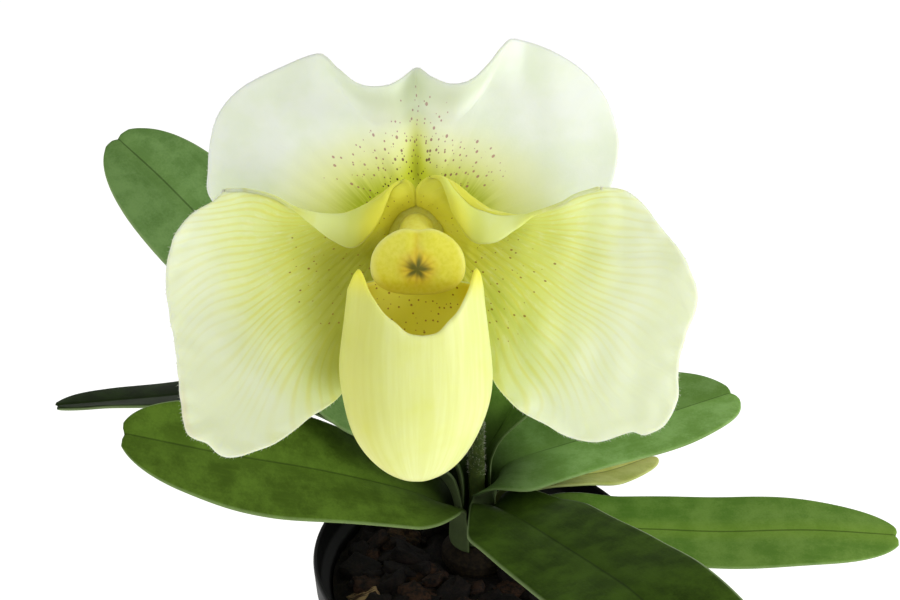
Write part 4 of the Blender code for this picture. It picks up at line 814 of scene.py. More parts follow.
def leaf_grid(leaf, rows, columns, seed):
    """A strap leaf. Its foot is a sheath, an arc about the crown's axis that stands on the cone. Above it each
    half runs from the midrib to the margin, tilted up by the fold, which opens from the foot outwards. The width
    swells from the sheath's, stays even and ends in a blunt tip with a small notch. A narrow furrow follows the
    midrib, and the margins rise and fall a little."""
    radius = INNER_SHEATH + leaf["layer"] * SHEATH_STEP
    azimuth, wrap = math.radians(leaf["azimuth"]), math.radians(leaf["wrap"])
    axis = np.array((CROWN_X, CROWN_Y, 0.0))
    out = np.array((math.cos(azimuth), math.sin(azimuth), 0.0))
    foot = cone_height(radius - LEAF_THICKNESS / 2) + 1.4 * GAP
    start = axis + radius * out
    top = start + UP * leaf["sheath_top"]
    bend = top + (np.array(leaf["midrib"][0]) - top) * SHEATH_BEND
    midrib = [start + UP * foot, start + UP * (foot + leaf["sheath_top"]) / 2, top, bend, *leaf["midrib"]]
    fine = smooth_path(midrib, 300)
    length = np.linalg.norm(np.diff(fine, axis=0), axis=1).sum()
    u = np.linspace(0.0, 1.0, rows)
    t = u - 0.06 * np.sin(math.tau * u)
    every = np.linspace(0.0, 1.0, 300)
    spine = np.stack([np.interp(t, every, column) for column in fine.T], axis=1)
    tangent = unit(np.stack([np.interp(t, every, column) for column in np.gradient(fine, axis=0).T], axis=1))
    outwards = spine - axis
    outwards[:, 2] = 0.0
    outwards += tangent * np.array((1.0, 1.0, 0.0)) * 0.02
    flat_side = unit(np.cross(outwards, UP))
    flat_side = unit(flat_side - tangent * np.sum(flat_side * tangent, axis=1)[:, None])
    flat_up = np.cross(flat_side, tangent)
    roll = np.radians(leaf["roll"]) * smooth_step((t - 0.05) / 0.6)[:, None]
    side = flat_side * np.cos(roll) + flat_up * np.sin(roll)
    up = flat_up * np.cos(roll) - flat_side * np.sin(roll)
    above = t * length - 0.9 * (leaf["sheath_top"] - foot)
    open_out = smooth_step(above / leaf["opening"])
    fold = np.radians(leaf["fold"] + (SHEATH_FOLD - leaf["fold"]) * (1 - open_out))[:, None, None]
    foot_width = radius * wrap
    full = LEAF_HALF_WIDTH * leaf["width"]
    swell = foot_width + (full - foot_width) * smooth_step(above / (leaf["swell"] * length))
    blunt = (1.0 - (0.985 * np.clip((t - leaf["taper"]) / (1 - leaf["taper"]), 0, 1)) ** 2.4) ** 0.5
    half = (swell * blunt)[:, None, None]
    c = np.linspace(-1.0, 1.0, columns)[None, :, None]
    crease = np.sqrt(c**2 + 0.0009) - 0.03
    notch = TIP_NOTCH * smooth_step((t - 0.86) / 0.14)[:, None, None] * (1 - np.clip(np.abs(c) / 0.5, 0, 1))
    wide = (half * (side[:, None] * c * np.cos(fold) + up[:, None] * crease * np.sin(fold))
            - tangent[:, None] * notch)
    across = np.cross(out, UP)
    turn = c * wrap + math.radians(leaf.get("hug", 0)) * np.maximum(c, 0) ** 2
    arc = radius * ((np.cos(turn) - 1) * out + np.sin(turn) * across)
    free = smooth_step(above / SHEATH_BLEND)[:, None, None]
    along = t[:, None] * length
    across_mm = c[..., 0] * half[..., 0] / MM
    furrow = -FURROW_DEPTH * bell(across_mm, 0.7)
    arch = LEAF_ARCH * (1 - c[..., 0] ** 2) - 0.0006
    wave = LEAF_WAVE * c[..., 0] ** 2 * unevenness(along, c[..., 0] * 0.01, 0.045, seed)
    detail = up[:, None] * (furrow + arch + wave)[..., None]
    lobe = smooth_step((above - 0.002) / 0.008) * bell(above - 0.012, 0.013)
    reach = (lobe[:, None, None] * np.maximum(c, 0) ** 1.5) * np.array(leaf.get("lobe", (0.0, 0.0, 0.0)))
    grid = spine[:, None] + (wide + detail) * free + arc * (1 - free) + reach
    beyond = np.clip(np.abs(across_mm) - (np.abs(half[..., 0]) / MM - PALE_MARGIN_MM), 0.0, PALE_MARGIN_MM)
    margin = 0.55 * beyond / PALE_MARGIN_MM * (np.abs(c[..., 0]) > 0.9) * smooth_step(above / 0.03)[:, None]
    # The sheath's mark darkens it towards the crown: painted shade
    marks = {"strap": stacked(across_mm, along / MM, 0.0), "margin_share": margin,
             "crown_painted_shade_share": 0.92 * (1 - smooth_step((above[:, None] - 0.004) / 0.032))}
    return grid, up[:, None], marks


def make_leaves():
    """The eight leaves, each with its own tones and its own waves."""
    for seed, (name, leaf) in enumerate(LEAVES.items()):
        grid, front, marks = leaf_grid(leaf, 150, 41, seed)
        finish = surface(f"cuticle_{name}", CUTICLE, leaf_cuticle, *LEAF_TONES[name])
        slot = "leaf_yellowed" if name == "leaf_old" else "leaf_green"
        dress(shell(name + "_blade", grid, LEAF_THICKNESS, front, marks), slot, finish, name)


# The flower

VEIN_STEP_MM = 2.6


def fan(foot_angles, edge, per_span, rows):
    """Rows of (x, y) points on straight rays from the foot's arc out to the curve through the edge's points, the
    share t of each row and the share s of each ray."""
    rim = curve_through(edge, per_span)
    turn = np.radians(np.linspace(*foot_angles, len(rim)))
    start = HEART + FOOT_RADIUS * np.stack([np.cos(turn), np.sin(turn)], axis=1)
    t = np.linspace(0.0, 1.0, rows)[:, None]
    s = np.linspace(0.0, 1.0, len(rim))[None, :]
    return start[None] + t[:, :, None] * (rim - start)[None], t, s


def flower_marks(plan, run, stretch, cell):
    """The attributes that every sepal and petal has: its plan in mm, its place across and along its veins, with
    the lengths along them shortened by stretch, and the place of its spots, whose net has cells that are cell mm
    wide 15 mm from the heart and grow outwards."""
    x, y = (plan[..., 0] - HEART[0]) / MM, (plan[..., 1] - HEART[1]) / MM
    out = np.maximum(np.hypot(x, y), 0.5)
    swell = 15.0**0.35 / cell * out**-0.35
    return {"plan": stacked(x, y, 0.0), "along": stacked(run * VEIN_STEP_MM, out * stretch, 0.0),
            "spot_place": stacked(x * swell, y * swell, 0.0)}


def margin_hairs(name, grids, count, length, finish, slot, seed):
    """Short pale hairs along the outer edge of each grid, which is its last row, pointing outwards."""
    rng = np.random.default_rng(seed)
    roots, directions = [], []
    for grid in grids:
        column = rng.integers(0, grid.shape[1], count)
        root = grid[-1, column]
        out = unit((grid[-1] - grid[-4])[column])
        roots.append(root - out * 0.0001)
        directions.append(out + rng.normal(0.0, 0.30, root.shape))
    roots = np.concatenate(roots)
    lengths = length * rng.uniform(0.5, 1.2, len(roots))
    dress(hairs(name, roots, np.concatenate(directions), lengths, 0.000035), slot, finish)


# The dorsal sepal's edge as seen from the front, from its lower left round the top to its lower right
DORSAL_EDGE = ((-0.0200, 0.0020), (-0.0300, 0.0012), (-0.0400, 0.0045), (-0.0453, 0.0105), (-0.0455, 0.0162),
               (-0.0448, 0.0227), (-0.0427, 0.0287), (-0.0378, 0.0338), (-0.0302, 0.0376), (-0.0208, 0.0411),
               (-0.0163, 0.0382), (-0.0112, 0.0346), (-0.0060, 0.0343), (-0.0029, 0.0357), (0.0004, 0.0381),
               (0.0037, 0.0361), (0.0074, 0.0347), (0.0115, 0.0354), (0.0156, 0.0389), (0.0187, 0.0427),
               (0.0211, 0.0441), (0.0278, 0.0423), (0.0353, 0.0381), (0.0408, 0.0323), (0.0438, 0.0249),
               (0.0441, 0.0195), (0.0425, 0.0123), (0.0380, 0.0055), (0.0290, 0.0012), (0.0200, 0.0020))
HOOD_REACH = 0.0115
GROOVE_DEPTH = 0.0024
SIDES_FALL = 0.0045


def make_dorsal(finish):
    """A broad hooded sepal: a groove down its midrib, sides that fall back, and a top margin between two crests
    that bends steeply forward, less so at the midrib. Veins stand up a little along its rays."""
    plan, t, _ = fan((160, 20), DORSAL_EDGE, 8, 110)
    x, y = plan[..., 0], plan[..., 1]
    ray = np.arctan2(y - HEART[1] + 0.006, x - HEART[0])
    midrib = bell(x, 0.0030)
    between = smooth_step((0.0235 - np.abs(x - 0.0003)) / 0.010)
    hood = HOOD_REACH * between * smooth_step((t - 0.66) / 0.34) ** 1.3 * (1 - 0.35 * midrib)
    groove = -GROOVE_DEPTH * midrib * smooth_step(t / 0.25)
    sides = 0.0030 * (x / 0.045) ** 2 - SIDES_FALL * smooth_step((np.abs(x) / 0.045 - 0.62) / 0.38)
    veins = 0.00003 * np.cos(52 * ray) * smooth_step(t / 0.2) * smooth_step((1 - t) / 0.2)
    ripple = 0.00025 * unevenness(x, y, 0.014, 31) * t
    z = -0.0055 + 0.0018 * smooth_step((t - 0.1) / 0.4) + hood + groove + sides * t + veins + ripple
    grid = on_flower(x, y, z)
    out = np.hypot(x - HEART[0], y - HEART[1])
    sky = np.arctan2(y - HEART[1], np.abs(x))
    glow = 1.22 - np.hypot(x / 0.031, (y - 0.0060) / 0.0200)
    glow += 0.30 * bell(x, 0.0026) * smooth_step((0.0330 - y) / 0.012)
    olive = (bell(x + 0.0095, 0.0062) + bell(x - 0.0098, 0.0062)) * smooth_step((0.0180 - y) / 0.0095)
    midrib_share = 0.60 * bell(x - 0.0003, 0.0012) * smooth_step((0.0290 - y) / 0.014)
    dots = (smooth_step((out - 0.0085) / 0.003) * smooth_step((0.0275 - out) / 0.0070)
            * smooth_step((sky - 0.42) / 0.25) * (0.55 + 0.45 * bell(x, 0.008)))
    dots = np.maximum(dots, 0.95 * bell(x - 0.0016, 0.0042) * smooth_step((0.0350 - y) / 0.006))
    dark = bell(x, 0.0075) * smooth_step((0.0275 - y) / 0.012) + smooth_step((0.0150 - out) / 0.005)
    run = 13.0 * ray + 0.25 * unevenness(x, y, 0.020, 7)
    # hood_share is painted shade on the forward-bent top margin between the crests
    marks = {**flower_marks(plan, run, 0.09, 1.40), "heart_share": np.clip(glow, 0, 1),
             "olive_share": np.clip(olive, 0, 1), "midrib_share": midrib_share, "dot_share": 0.95 * dots,
             "dark_share": np.clip(dark, 0, 1),
             "hood_share": 0.60 * between * smooth_step((t - 0.76) / 0.16) * smooth_step((1.03 - t) / 0.05)}
    dress(shell("dorsal_sepal_blade", grid, PETAL_THICKNESS, FLOWER_OUT, marks), "sepal_white", finish,
          "dorsal_sepal")
    return grid


# Each petal as seen from the front: its upper margin from the foot over the swollen base and along the crest
# where it rolls forward, its free edge from the shoulder round to the inner foot, how far the rolled lap hangs
# down at shares of the upper margin, the angles at which its foot starts and ends, in degrees, its waves' height,
# count and phase, how strongly olive painted shade darkens its inner part, where it recedes behind the pouch and
# lies in the pouch's shadow, and how clear a strip at its tip is, painted in its back's beige with painted shade
# for a curled margin that the blade doesn't have. The right petal has its own lines, since no flower is even
LEFT_PETAL = dict(
    upper=((-0.0008, 0.0073), (-0.0007, 0.0118), (-0.0021, 0.0140), (-0.0047, 0.0133), (-0.0072, 0.0108),
           (-0.0106, 0.0091), (-0.0149, 0.0073), (-0.0202, 0.0074), (-0.0255, 0.0089), (-0.0297, 0.0112),
           (-0.0349, 0.0125), (-0.0400, 0.0127)),
    edge=((-0.0400, 0.0127), (-0.0423, 0.0104), (-0.0475, 0.0073), (-0.0513, 0.0021), (-0.0530, -0.0050),
          (-0.0526, -0.0120), (-0.0511, -0.0202), (-0.0505, -0.0260), (-0.0500, -0.0330),
          (-0.0492, -0.0390), (-0.0452, -0.0418), (-0.0414, -0.0447), (-0.0366, -0.0440),
          (-0.0292, -0.0411), (-0.0228, -0.0366), (-0.0164, -0.0322), (-0.0120, -0.0240),
          (-0.0098, -0.0140), (-0.0078, -0.0050), (-0.0052, 0.0000)),
    lap=((0.0, 0.0), (0.20, 0.0004), (0.25, 0.0020), (0.32, 0.0058), (0.40, 0.0074), (0.50, 0.0052),
         (0.62, 0.0018), (0.72, 0.0005), (1.0, 0.0005)),
    foot=(98, 200),
    waves=(0.0013, 3.1, 0.15),
    olive=0.85,
    painted_curl=0.8,
)
RIGHT_PETAL = dict(
    upper=((0.0008, 0.0073), (0.0007, 0.0120), (0.0028, 0.0147), (0.0060, 0.0148), (0.0082, 0.0122),
           (0.0116, 0.0089), (0.0148, 0.0076), (0.0180, 0.0068), (0.0223, 0.0069), (0.0254, 0.0078),
           (0.0307, 0.0097), (0.0339, 0.0114), (0.0391, 0.0131)),
    edge=((0.0391, 0.0131), (0.0443, 0.0125), (0.0485, 0.0094), (0.0516, 0.0053), (0.0558, 0.0001),
          (0.0579, -0.0041), (0.0596, -0.0093), (0.0587, -0.0146), (0.0571, -0.0199), (0.0562, -0.0263),
          (0.0560, -0.0320), (0.0531, -0.0369), (0.0490, -0.0392), (0.0463, -0.0389), (0.0417, -0.0410),
          (0.0374, -0.0418), (0.0332, -0.0409), (0.0279, -0.0379), (0.0225, -0.0349), (0.0170, -0.0290),
          (0.0130, -0.0190), (0.0102, -0.0090), (0.0052, 0.0000)),
    lap=((0.0, 0.0), (0.20, 0.0004), (0.25, 0.0024), (0.32, 0.0052), (0.42, 0.0066), (0.52, 0.0052),
         (0.62, 0.0022), (0.72, 0.0005), (1.0, 0.0005)),
    foot=(82, -20),
    waves=(0.0013, 3.4, 0.40),
    olive=0.30,
    painted_curl=0.0,
)
LAP_STEPS = 18
LAP_TURN = 0.62 * math.pi
LAP_REACH = 0.0012
PETAL_SWEEP = 0.0070


def make_petal(name, petal, seed, finish, solid_name):
    """A broad drooping petal. Rays run from the foot's arc to the free edge, the first along the upper margin.
    Outwards the blade sweeps forward and waves. From the crest a lap of margin rolls forward and hangs down over
    the face. Veins stand up a little along the rays, and the blade ripples slightly."""
    rows = 150
    plan, t, s = fan(petal["foot"], petal["edge"], 8, rows)
    bow = smooth_path(petal["upper"], rows) - plan[:, 0]
    plan = plan + bow[:, None] * ((1 - s) ** 3)[..., None]
    ends = np.minimum.accumulate(np.arctan2(plan[-1, :, 1] - HEART[1], np.abs(plan[-1, :, 0])))
    ray = 0.75 * (ends[0] - ends) / (ends[0] - ends[-1]) + 0.25 * s[0]
    height, count, phase = petal["waves"]
    x, y = plan[..., 0], plan[..., 1]
    out = np.hypot(x - HEART[0], y - HEART[1])
    z = -0.0036 + 0.0048 * smooth_step((out - FOOT_RADIUS) / 0.008) + PETAL_SWEEP * (out / 0.060) ** 2
    z += height * t**2 * np.sin(math.tau * (count * s + phase))
    z += 0.0024 * smooth_step(1 - s / 0.2) * smooth_step((t - 0.15) / 0.2) * smooth_step((1 - t) / 0.3)
    z += 0.0030 * bell(out - 0.0080, 0.0028) * smooth_step((0.5 - s) / 0.2)
    z += -0.0022 * bell(t - 0.14, 0.09) * smooth_step(1 - s / 0.12)
    z += 0.00008 * np.cos(math.tau * 15 * ray) * smooth_step(t / 0.3) * smooth_step((1 - t) / 0.25)
    z += 0.00028 * unevenness(x, y, 0.011, seed) * smooth_step(t / 0.4)
    z += 0.00040 * unevenness(x, y, 0.0065, seed + 1) * smooth_step((t - 0.86) / 0.14)
    face = stacked(x, y, z)
    hang = np.interp(t, *curve_through(petal["lap"], 6).T)
    turn = LAP_TURN * np.arange(LAP_STEPS, 0, -1)[None, :] / LAP_STEPS
    down = hang * (1 - np.cos(turn)) / (1 - math.cos(LAP_TURN))
    forward = 0.50 * hang * np.sin(turn) + LAP_REACH * turn / LAP_TURN * np.clip(hang / 0.002, 0.35, 1.0)
    rolls = smooth_step((t - 0.10) / 0.16)
    inwards = (1 - rolls) * 0.0007 * turn / LAP_TURN
    forward = forward * rolls - 1.3 * inwards
    lap = face[:, :1] + stacked(-math.copysign(1.0, petal["edge"][0][0]) * inwards, -down, forward)
    full = np.concatenate([lap, face], axis=1)
    s = np.concatenate([-0.002 * turn[0] / LAP_TURN, s[0]])[None, :]
    ray = np.concatenate([0 * turn[0], ray])[None, :]
    x, y = full[..., 0] - HEART[0], full[..., 1] - HEART[1]
    out = np.hypot(x, y)
    on_lap = np.clip(hang / 0.003, 0, 1) * (np.arange(full.shape[1]) < LAP_STEPS)
    outer_lap = on_lap * smooth_step((out - 0.008) / 0.008)
    heart = np.clip(1.0 - (out - 0.006) / 0.043, 0, 1) * (1 - 0.45 * outer_lap)
    vein = smooth_step((out - 0.008) / 0.010) * smooth_step((0.060 - out) / 0.026) * (1 - 0.8 * on_lap)
    beside = smooth_step((0.003 - y) / 0.006)
    arc = smooth_step((out - 0.0062) / 0.001) * smooth_step((0.0098 - out) / 0.002) * (1 - beside)
    dots = smooth_step((out - 0.010) / 0.004) * smooth_step((0.034 - out) / 0.012) * beside * (1 - on_lap)
    # A strip at the tip painted in the back's beige with painted shade, for a curled margin the blade doesn't have
    painted_curl = petal["painted_curl"] * smooth_step((t - 0.965) / 0.03) * bell(s - 0.44, 0.05)
    run = (ray - 0.11 * t**2) * 17.0 + 0.30 * unevenness(x, y, 0.022, seed + 2)
    # Painted shade: olive where the inner part recedes behind the pouch and lies in its shadow
    inner = smooth_step((0.029 - np.abs(x)) / 0.012)
    olive = inner * smooth_step((0.004 - y) / 0.010) * smooth_step((y + 0.040) / 0.012)
    marks = {**flower_marks(full, run, 0.35, 1.55), "run": run, "heart_share": heart, "vein_share": 0.38 * vein,
             "fork_share": smooth_step((t - 0.40) / 0.25), "net_share": 0.22 * vein,
             "dot_share": np.clip(0.85 * dots + 0.80 * arc, 0, 1), "back_tone_and_painted_shade_share": painted_curl,
             "olive_share": petal["olive"] * olive}
    grid = on_flower(*np.moveaxis(full, -1, 0))
    dress(shell(name, grid, PETAL_THICKNESS, FLOWER_OUT, marks), "petal_cream", finish, solid_name)
    return grid


SYNSEPAL_EDGE = ((-0.0105, -0.0060), (-0.0140, -0.0160), (-0.0125, -0.0280), (-0.0070, -0.0360),
                 (0.0005, -0.0385), (0.0080, -0.0360), (0.0130, -0.0280), (0.0145, -0.0160), (0.0108, -0.0060))


def make_synsepal(finish):
    """The lower sepal behind the pouch: an oval blade, cupped forward."""
    plan, t, s = fan((215, 325), SYNSEPAL_EDGE, 8, 70)
    x, y = plan[..., 0], plan[..., 1]
    z = -0.0050 - 0.0040 * t + 0.0040 * (x / 0.014) ** 2 * t + 0.0002 * unevenness(x, y, 0.012, 77) * t
    marks = {**flower_marks(plan, s * 14.0, 0.35, 1.7), "run": s * 14.0, "heart_share": np.clip(0.8 - t, 0, 1),
             "vein_share": 0.4, "fork_share": t, "net_share": 0.3, "dot_share": 0.0, "back_tone_and_painted_shade_share": 0.0,
             "olive_share": 0.0}
    blade = shell("synsepal_blade", on_flower(x, y, z), PETAL_THICKNESS, FLOWER_OUT, marks)
    dress(blade, "sepal_white", finish, "synsepal")


# The pouch, in the flower's frame: its toe, its widest place and its rim's height at angles from the front.
# At the back the rim rises to the underside of the column, which carries the pouch
POUCH_TOE = (0.0004, -0.0459, 0.0190)
POUCH_WIDEST = -0.0230
POUCH_HALF_WIDTH = 0.0151
POUCH_HALF_DEPTH = 0.0140
POUCH_RIM = ((0.0, -0.0139), (0.22, -0.0134), (0.40, -0.0119), (0.53, -0.0102), (0.70, -0.0077),
             (0.865, -0.0054), (1.00, -0.0030), (1.10, -0.0018), (1.22, -0.0026), (1.40, -0.0050),
             (1.60, -0.0060), (2.30, -0.0064), (2.70, -0.0050), (3.15, -0.0021))
POUCH_RIM_SHIFT = 0.12
RIM_WAVE = 0.0007
POUCH_SHOULDERS = 0.13


def make_pouch(finish):
    """The slipper: ellipses from the round toe up to a rim that is low and a little wavy in front and rises to a
    lobe on each side and to the column at the back. Above its widest place the wall draws in. Its rows crowd
    towards the toe, where the girth grows as a square root."""
    around = np.linspace(-math.pi, math.pi, 160, endpoint=False)[None, :]
    u = np.linspace(0.012, 1.0, 110)[:, None]
    h = u**2 * (2 - u)
    turned_by = np.abs(around - POUCH_RIM_SHIFT * np.cos(around / 2) ** 2)
    angle, height = curve_through(POUCH_RIM, 8).T
    rim = np.interp(turned_by, angle, height)
    rim += RIM_WAVE * bell(around + 0.26, 0.13) + RIM_WAVE * bell(around - 0.50, 0.13)
    rise = 0.50 * (1 - np.cos(h * math.pi / 2)) + 0.50 * h
    y = POUCH_TOE[1] + (rim - POUCH_TOE[1]) * rise
    low = np.clip((y - POUCH_TOE[1]) / (POUCH_WIDEST - POUCH_TOE[1]), 0, 1)
    shoulders = POUCH_SHOULDERS * smooth_step((y - POUCH_WIDEST) / 0.021)
    girth = np.sqrt(np.clip(1 - (1 - low) ** 2, 0, 1)) - shoulders
    x = POUCH_TOE[0] + POUCH_HALF_WIDTH * girth * np.sin(around)
    middle = POUCH_TOE[2] - 0.0020 * smooth_step((y - POUCH_TOE[1]) / 0.045)
    z = middle + POUCH_HALF_DEPTH * girth * np.cos(around)
    swell = 0.00018 * unevenness(around * 0.015, y, 0.020, 9)
    x = x + swell * np.sin(around)
    z = z + swell * np.cos(around)
    grid = on_flower(x, y, z)
    outwards = grid - on_flower(POUCH_TOE[0], y, middle)
    marks = {"wrap": stacked(around * 15.0, y / MM * 0.08, 0.0),
             "spot_place": stacked(x / 0.0015, y / 0.0015, 0.0),
             "lobe_share": smooth_step((y + 0.0085) / 0.0065) * smooth_step((1.9 - np.abs(around)) / 0.5),
             "sides_share": smooth_step((np.abs(np.sin(around)) - 0.55) / 0.35),
             # painted shade on the left flank, which faces away from the key light
             "left_flank_painted_shade_share": 0.65 * smooth_step((-np.sin(around) - 0.05) / 0.75),
             "dot_share": 0.62 * smooth_step((y + 0.030) / 0.008)}
    piece = shell("slipper_pouch", grid, POUCH_THICKNESS, outwards, marks, loop=True)
    dress(piece, "pouch_yellow", finish, "lip_pouch")


# The column, the cone round its foot, the anthers and the staminode, the shield in front of them
COLUMN_RADIUS = 0.0038
COLUMN_BACK = -0.0058
COLUMN_FRONT = 0.0118
COLUMN_LIFT = 0.0006
COLUMN_DROP = 0.0022
COLUMN_LEAN = 0.0005
BASE_WIDTH = 0.0052
BASE_DEPTH = 0.0052
ANTHER_RADIUS = 0.0021
ANTHER_CENTRE = (0.0042, 0.0010, 0.0066)
SHIELD_CENTRE = (0.0008, -0.0014, 0.0140)
SHIELD_RADII = (0.0097, 0.0071)
SHIELD_THICKNESS = 0.0012


def make_column(finish):
    """The column, a short thick post out of the flower's heart, the round anther on each side of it, and the
    flower's base, a flat cone round the column's foot that closes the ring between it and the petals."""
    shares = np.linspace(0.0, 1.0, 40)
    radii = COLUMN_RADIUS * np.interp(shares, np.linspace(0, 1, 6), (0.88, 0.96, 1.0, 1.0, 0.92, 0.78))
    z = COLUMN_BACK + (COLUMN_FRONT - COLUMN_BACK) * shares
    y = HEART[1] + COLUMN_LIFT - COLUMN_DROP * smooth_step((z + 0.002) / 0.012)
    path = on_flower(HEART[0] + COLUMN_LEAN * shares, y, z)
    grids, paths = [tube_grid(path, radii, 44)], [path]
    polar = np.linspace(0.05, math.pi - 0.05, 16)
    for side in (-1.0, 1.0):
        centre = on_flower(side * ANTHER_CENTRE[0], *ANTHER_CENTRE[1:])
        line = centre + RIGHT * (-np.cos(polar) * ANTHER_RADIUS)[:, None]
        grids.append(tube_grid(line, ANTHER_RADIUS * np.sin(polar), 20))
        paths.append(line)
    dress(tubes("column_and_anthers", grids, paths), "column_yellow", finish, "column")
    around = np.linspace(0.0, math.tau, 72, endpoint=False)[None, :]
    t = np.linspace(0.0, 1.0, 24)[:, None]
    radius = 0.0014 + BASE_WIDTH * t
    z = 0.0012 - BASE_DEPTH * t**1.3
    cone = on_flower(HEART[0] + radius * np.cos(around), HEART[1] + radius * np.sin(around), z)
    base = shell("flower_base", cone, PETAL_THICKNESS, FLOWER_OUT, {}, loop=True)
    dress(base, "column_yellow", finish)


def make_shield(finish):
    """The staminode: a rounded shield, widest below its middle, notched at the top and domed, with a furrow that
    runs from the notch to the boss and a margin that turns back."""
    around = np.linspace(0.0, math.tau, 200, endpoint=False)[None, :]
    t = np.linspace(0.02, 1.0, 64)[:, None]
    notch = 1 - 0.12 * bell(around - math.pi / 2, 0.28)
    bulge = 2.2 - 0.25 * np.sin(around)
    square = (np.abs(np.cos(around)) ** bulge + np.abs(np.sin(around)) ** bulge) ** (-1 / bulge)
    y = SHIELD_RADII[1] * square * notch * t * np.sin(around)
    x = SHIELD_RADII[0] * square * notch * t * np.cos(around) * (1 - 0.10 * y / SHIELD_RADII[1])
    z = 0.0018 * (1 - t**2) + 0.0006 * bell(t, 0.25) - 0.0012 * (y / SHIELD_RADII[1]) * t
    z += -0.0014 * smooth_step((-y / SHIELD_RADII[1] - 0.45) / 0.55)
    z += -0.00035 * bell(x, 0.0012) * smooth_step((y - 0.0008) / 0.002)
    z += 0.00006 * unevenness(x, y, 0.0032, 3) * smooth_step(t / 0.3)
    grid = on_flower(x + SHIELD_CENTRE[0], y + SHIELD_CENTRE[1], z + SHIELD_CENTRE[2])
    reach = np.hypot(x * 0.92, y + 0.0012) / MM
    turn = np.arctan2(y + 0.0012, x)
    blots = 1 + 0.17 * np.cos(5 * turn - 0.5) + 0.10 * np.cos(8 * turn + 1.0)
    star = 0.88 * smooth_step((2.7 * blots - reach) / 2.1)
    spread = smooth_step((4.0 - reach) / 2.6) * smooth_step((reach - 0.4) / 0.6)
    rays = 0.40 * spread * smooth_step(np.cos(15 * turn + 1.2 * np.sin(2 * turn)) * 0.5 + 0.30)
    furrow = bell(x / MM + 0.2, 1.0) * smooth_step((y - 0.0005) / 0.002)
    halo = 0.70 * smooth_step((5.0 - reach) / 4.0) + 0.35 * furrow
    # The margin is paler all round, with a painted highlight added at the upper left
    upper_left_painted_highlight = smooth_step((y - x * 0.8 + 0.002) / 0.008)
    rim = smooth_step((t - 0.80) / 0.20) * (0.35 + 0.5 * upper_left_painted_highlight)
    marks = {"plan": stacked(x / MM, y / MM, 0.0), "star_share": star, "ray_share": rays,
             "halo_share": np.clip(halo, 0, 1), "rim_share": rim}
    piece = shell("staminode_shield", grid, SHIELD_THICKNESS, FLOWER_OUT, marks, loop=True)
    dress(piece, "column_yellow", finish, "staminode")


def make_flower(hair_finish):
    """The flower's tissues and its pieces, then the hairs along the margins of petals and sepal."""
    petal = surface("petal_tissue_cream", {**THIN_TISSUE, "Subsurface Radius": (1.0, 0.95, 0.45)}, petal_tissue)
    sepal = surface("sepal_tissue_white", {**THIN_TISSUE, "Subsurface Radius": (1.0, 0.97, 0.60)}, sepal_tissue)
    pouch = surface("pouch_tissue_waxy", {
        **WAXY_TISSUE, "Roughness": 0.40, "Coat Weight": 0.05, "Subsurface Weight": 0.65,
        "Subsurface Scale": 0.0020, "Subsurface Radius": (1.0, 1.0, 0.40)}, pouch_tissue)
    column = surface("column_tissue_waxy", {
        "Roughness": 0.42, "IOR": 1.45, "Subsurface Weight": 0.8, "Subsurface Scale": 0.004,
        "Subsurface Radius": (1.0, 0.95, 0.35)}, two_tones, "#F4EE70", "#ECE254", 900.0, 0.05)
    shield = surface("staminode_tissue_waxy", {
        **WAXY_TISSUE, "Roughness": 0.42, "Coat Weight": 0.04, "Subsurface Weight": 0.80,
        "Subsurface Scale": 0.0035, "Subsurface Radius": (1.0, 0.9, 0.30)}, shield_tissue)
    top = make_dorsal(sepal)
    left = make_petal("petal_left_blade", LEFT_PETAL, 41, petal, "petal_left")
    right = make_petal("petal_right_blade", RIGHT_PETAL, 61, petal, "petal_right")
    make_synsepal(petal)
    make_pouch(pouch)
    make_column(column)
    make_shield(shield)
    margin_hairs("petal_margin_hairs", [left, right], 420, 0.0008, hair_finish, "petal_cream", 5)
    margin_hairs("sepal_margin_hairs", [top], 380, 0.0006, hair_finish, "sepal_white", 6)


# Floor, light and camera
CAMERA_PLACE = (-0.0096, -0.3153, 0.3430)
CAMERA_PITCH = math.radians(27)
CAMERA_LENS = 50.0
FLOOR_HALF_WIDTH = 3.0
FLOOR_GAP = 0.0002
SKY_STRENGTH = 0.50
WARM_WHITE = (1.0, 1.0, 0.98)


def area_light(name, place, target, size, power):
    """A soft, nearly white square light of a given width that shines from its place towards a target."""
    lamp = bpy.data.lights.new(name, "AREA")
    lamp.shape = "SQUARE"
    lamp.size = size
    lamp.energy = power
    lamp.color = WARM_WHITE
    obj = bpy.data.objects.new(name, lamp)
    obj.location = place
    obj.rotation_mode = "QUATERNION"
    obj.rotation_quaternion = (Vector(target) - Vector(place)).to_track_quat("-Z", "Y")
    bpy.context.scene.collection.objects.link(obj)


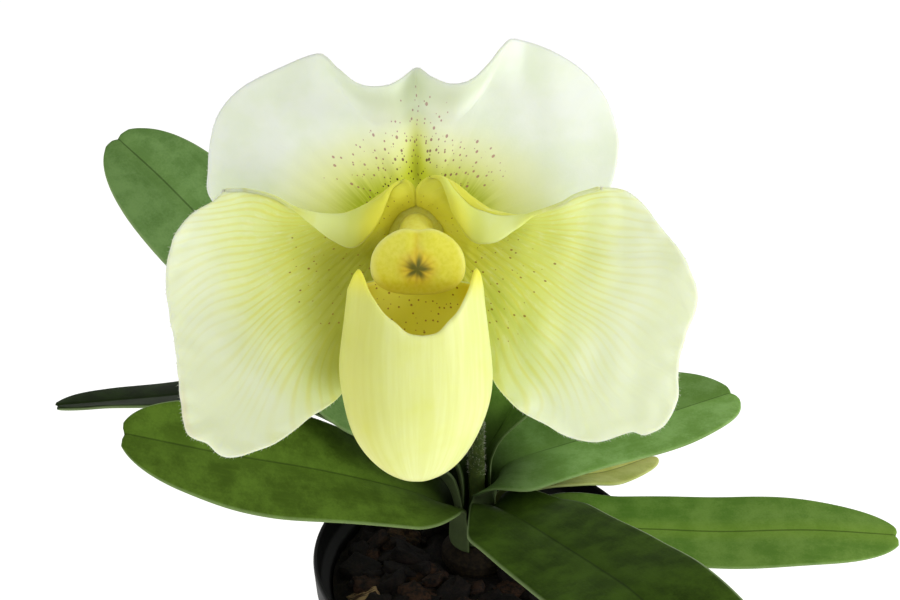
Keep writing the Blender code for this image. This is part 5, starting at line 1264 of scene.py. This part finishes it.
def make_stage():
    """A plain white floor, soft white light all round, a large key light from the upper right and the camera."""
    points = np.array(((-1, -1, 0), (1, -1, 0), (1, 1, 0), (-1, 1, 0))) * FLOOR_HALF_WIDTH - UP * FLOOR_GAP
    floor = solid("floor", points, np.array(((0, 1, 2, 3),)), np.zeros((0, 3), int), {})
    floor.data.materials.append(surface("floor_paper_white", {
        "Base Color": tone("#F8F8F6"), "Roughness": 0.9, "Emission Color": tone("#FFFFFF"),
        "Emission Strength": 0.55}))
    scene = bpy.context.scene
    scene.view_settings.view_transform = "Standard"
    world = bpy.data.worlds.new("white_room")
    world.use_nodes = True
    sky = world.node_tree.nodes["Background"]
    sky.inputs["Color"].default_value = tone("#FFFFFF")
    sky.inputs["Strength"].default_value = SKY_STRENGTH
    scene.world = world
    area_light("key_light", (0.90, -0.30, 0.56), (-0.01, -0.06, 0.20), 0.45, 4.5)
    area_light("fill_light", (-0.50, -0.55, 0.85), (-0.02, -0.07, 0.22), 0.60, 1.6)
    lens = bpy.data.cameras.new("camera")
    lens.lens = CAMERA_LENS
    lens.sensor_width = 36.0
    lens.clip_start = 0.01
    camera = bpy.data.objects.new("camera", lens)
    camera.location = CAMERA_PLACE
    camera.rotation_euler = (math.pi / 2 - CAMERA_PITCH, 0.0, 0.0)
    scene.collection.objects.link(camera)
    scene.camera = camera


def main():
    """The pot, the mix and the roots, then the leaves, the stem, its bract and the flower, and the stage. Hairs
    are fine, white and a little shiny, the stem's skin is a soft green that lets some light in, darkened by
    painted shade, and the felted skin of the roots is matt brown, darkened nearly to black by painted shade."""
    hair_finish = surface(
        "hair_white_fine", {"Roughness": 0.5, "IOR": 1.5}, two_tones, "#F2F2E2", "#E4E6CC", 500.0, 0.01)
    # The stem's green is darkened by painted shade from the flower above it
    stem_finish = surface("stem_skin_green_with_painted_shade", {
        "Roughness": 0.55, "IOR": 1.45, "Subsurface Weight": 0.1, "Subsurface Scale": 0.001},
        two_tones, "#36461A", "#4C5C26", 500.0, 0.08)
    damp_bark = {"Roughness": 0.85, "IOR": 1.45, "Specular IOR Level": 0.3}
    felt = {"Roughness": 0.85, "IOR": 1.4, "Specular IOR Level": 0.3}
    make_pot()
    make_mix(surface("bark_chips_damp", damp_bark, bark))
    # The roots' brown is darkened nearly to black by painted shade
    make_rootstock(surface("root_skin_felted_with_painted_shade", felt, two_tones, "#17110B", "#2C2316", 700.0, 0.3))
    make_leaves()
    make_stem(stem_finish, hair_finish)
    make_bract(surface("cuticle_bract", CUTICLE, leaf_cuticle, "#5A7430", "#7A9044", "#6C8438", 0.0))
    make_flower(hair_finish)
    make_stage()


main()
bpy.context.view_layer.update()
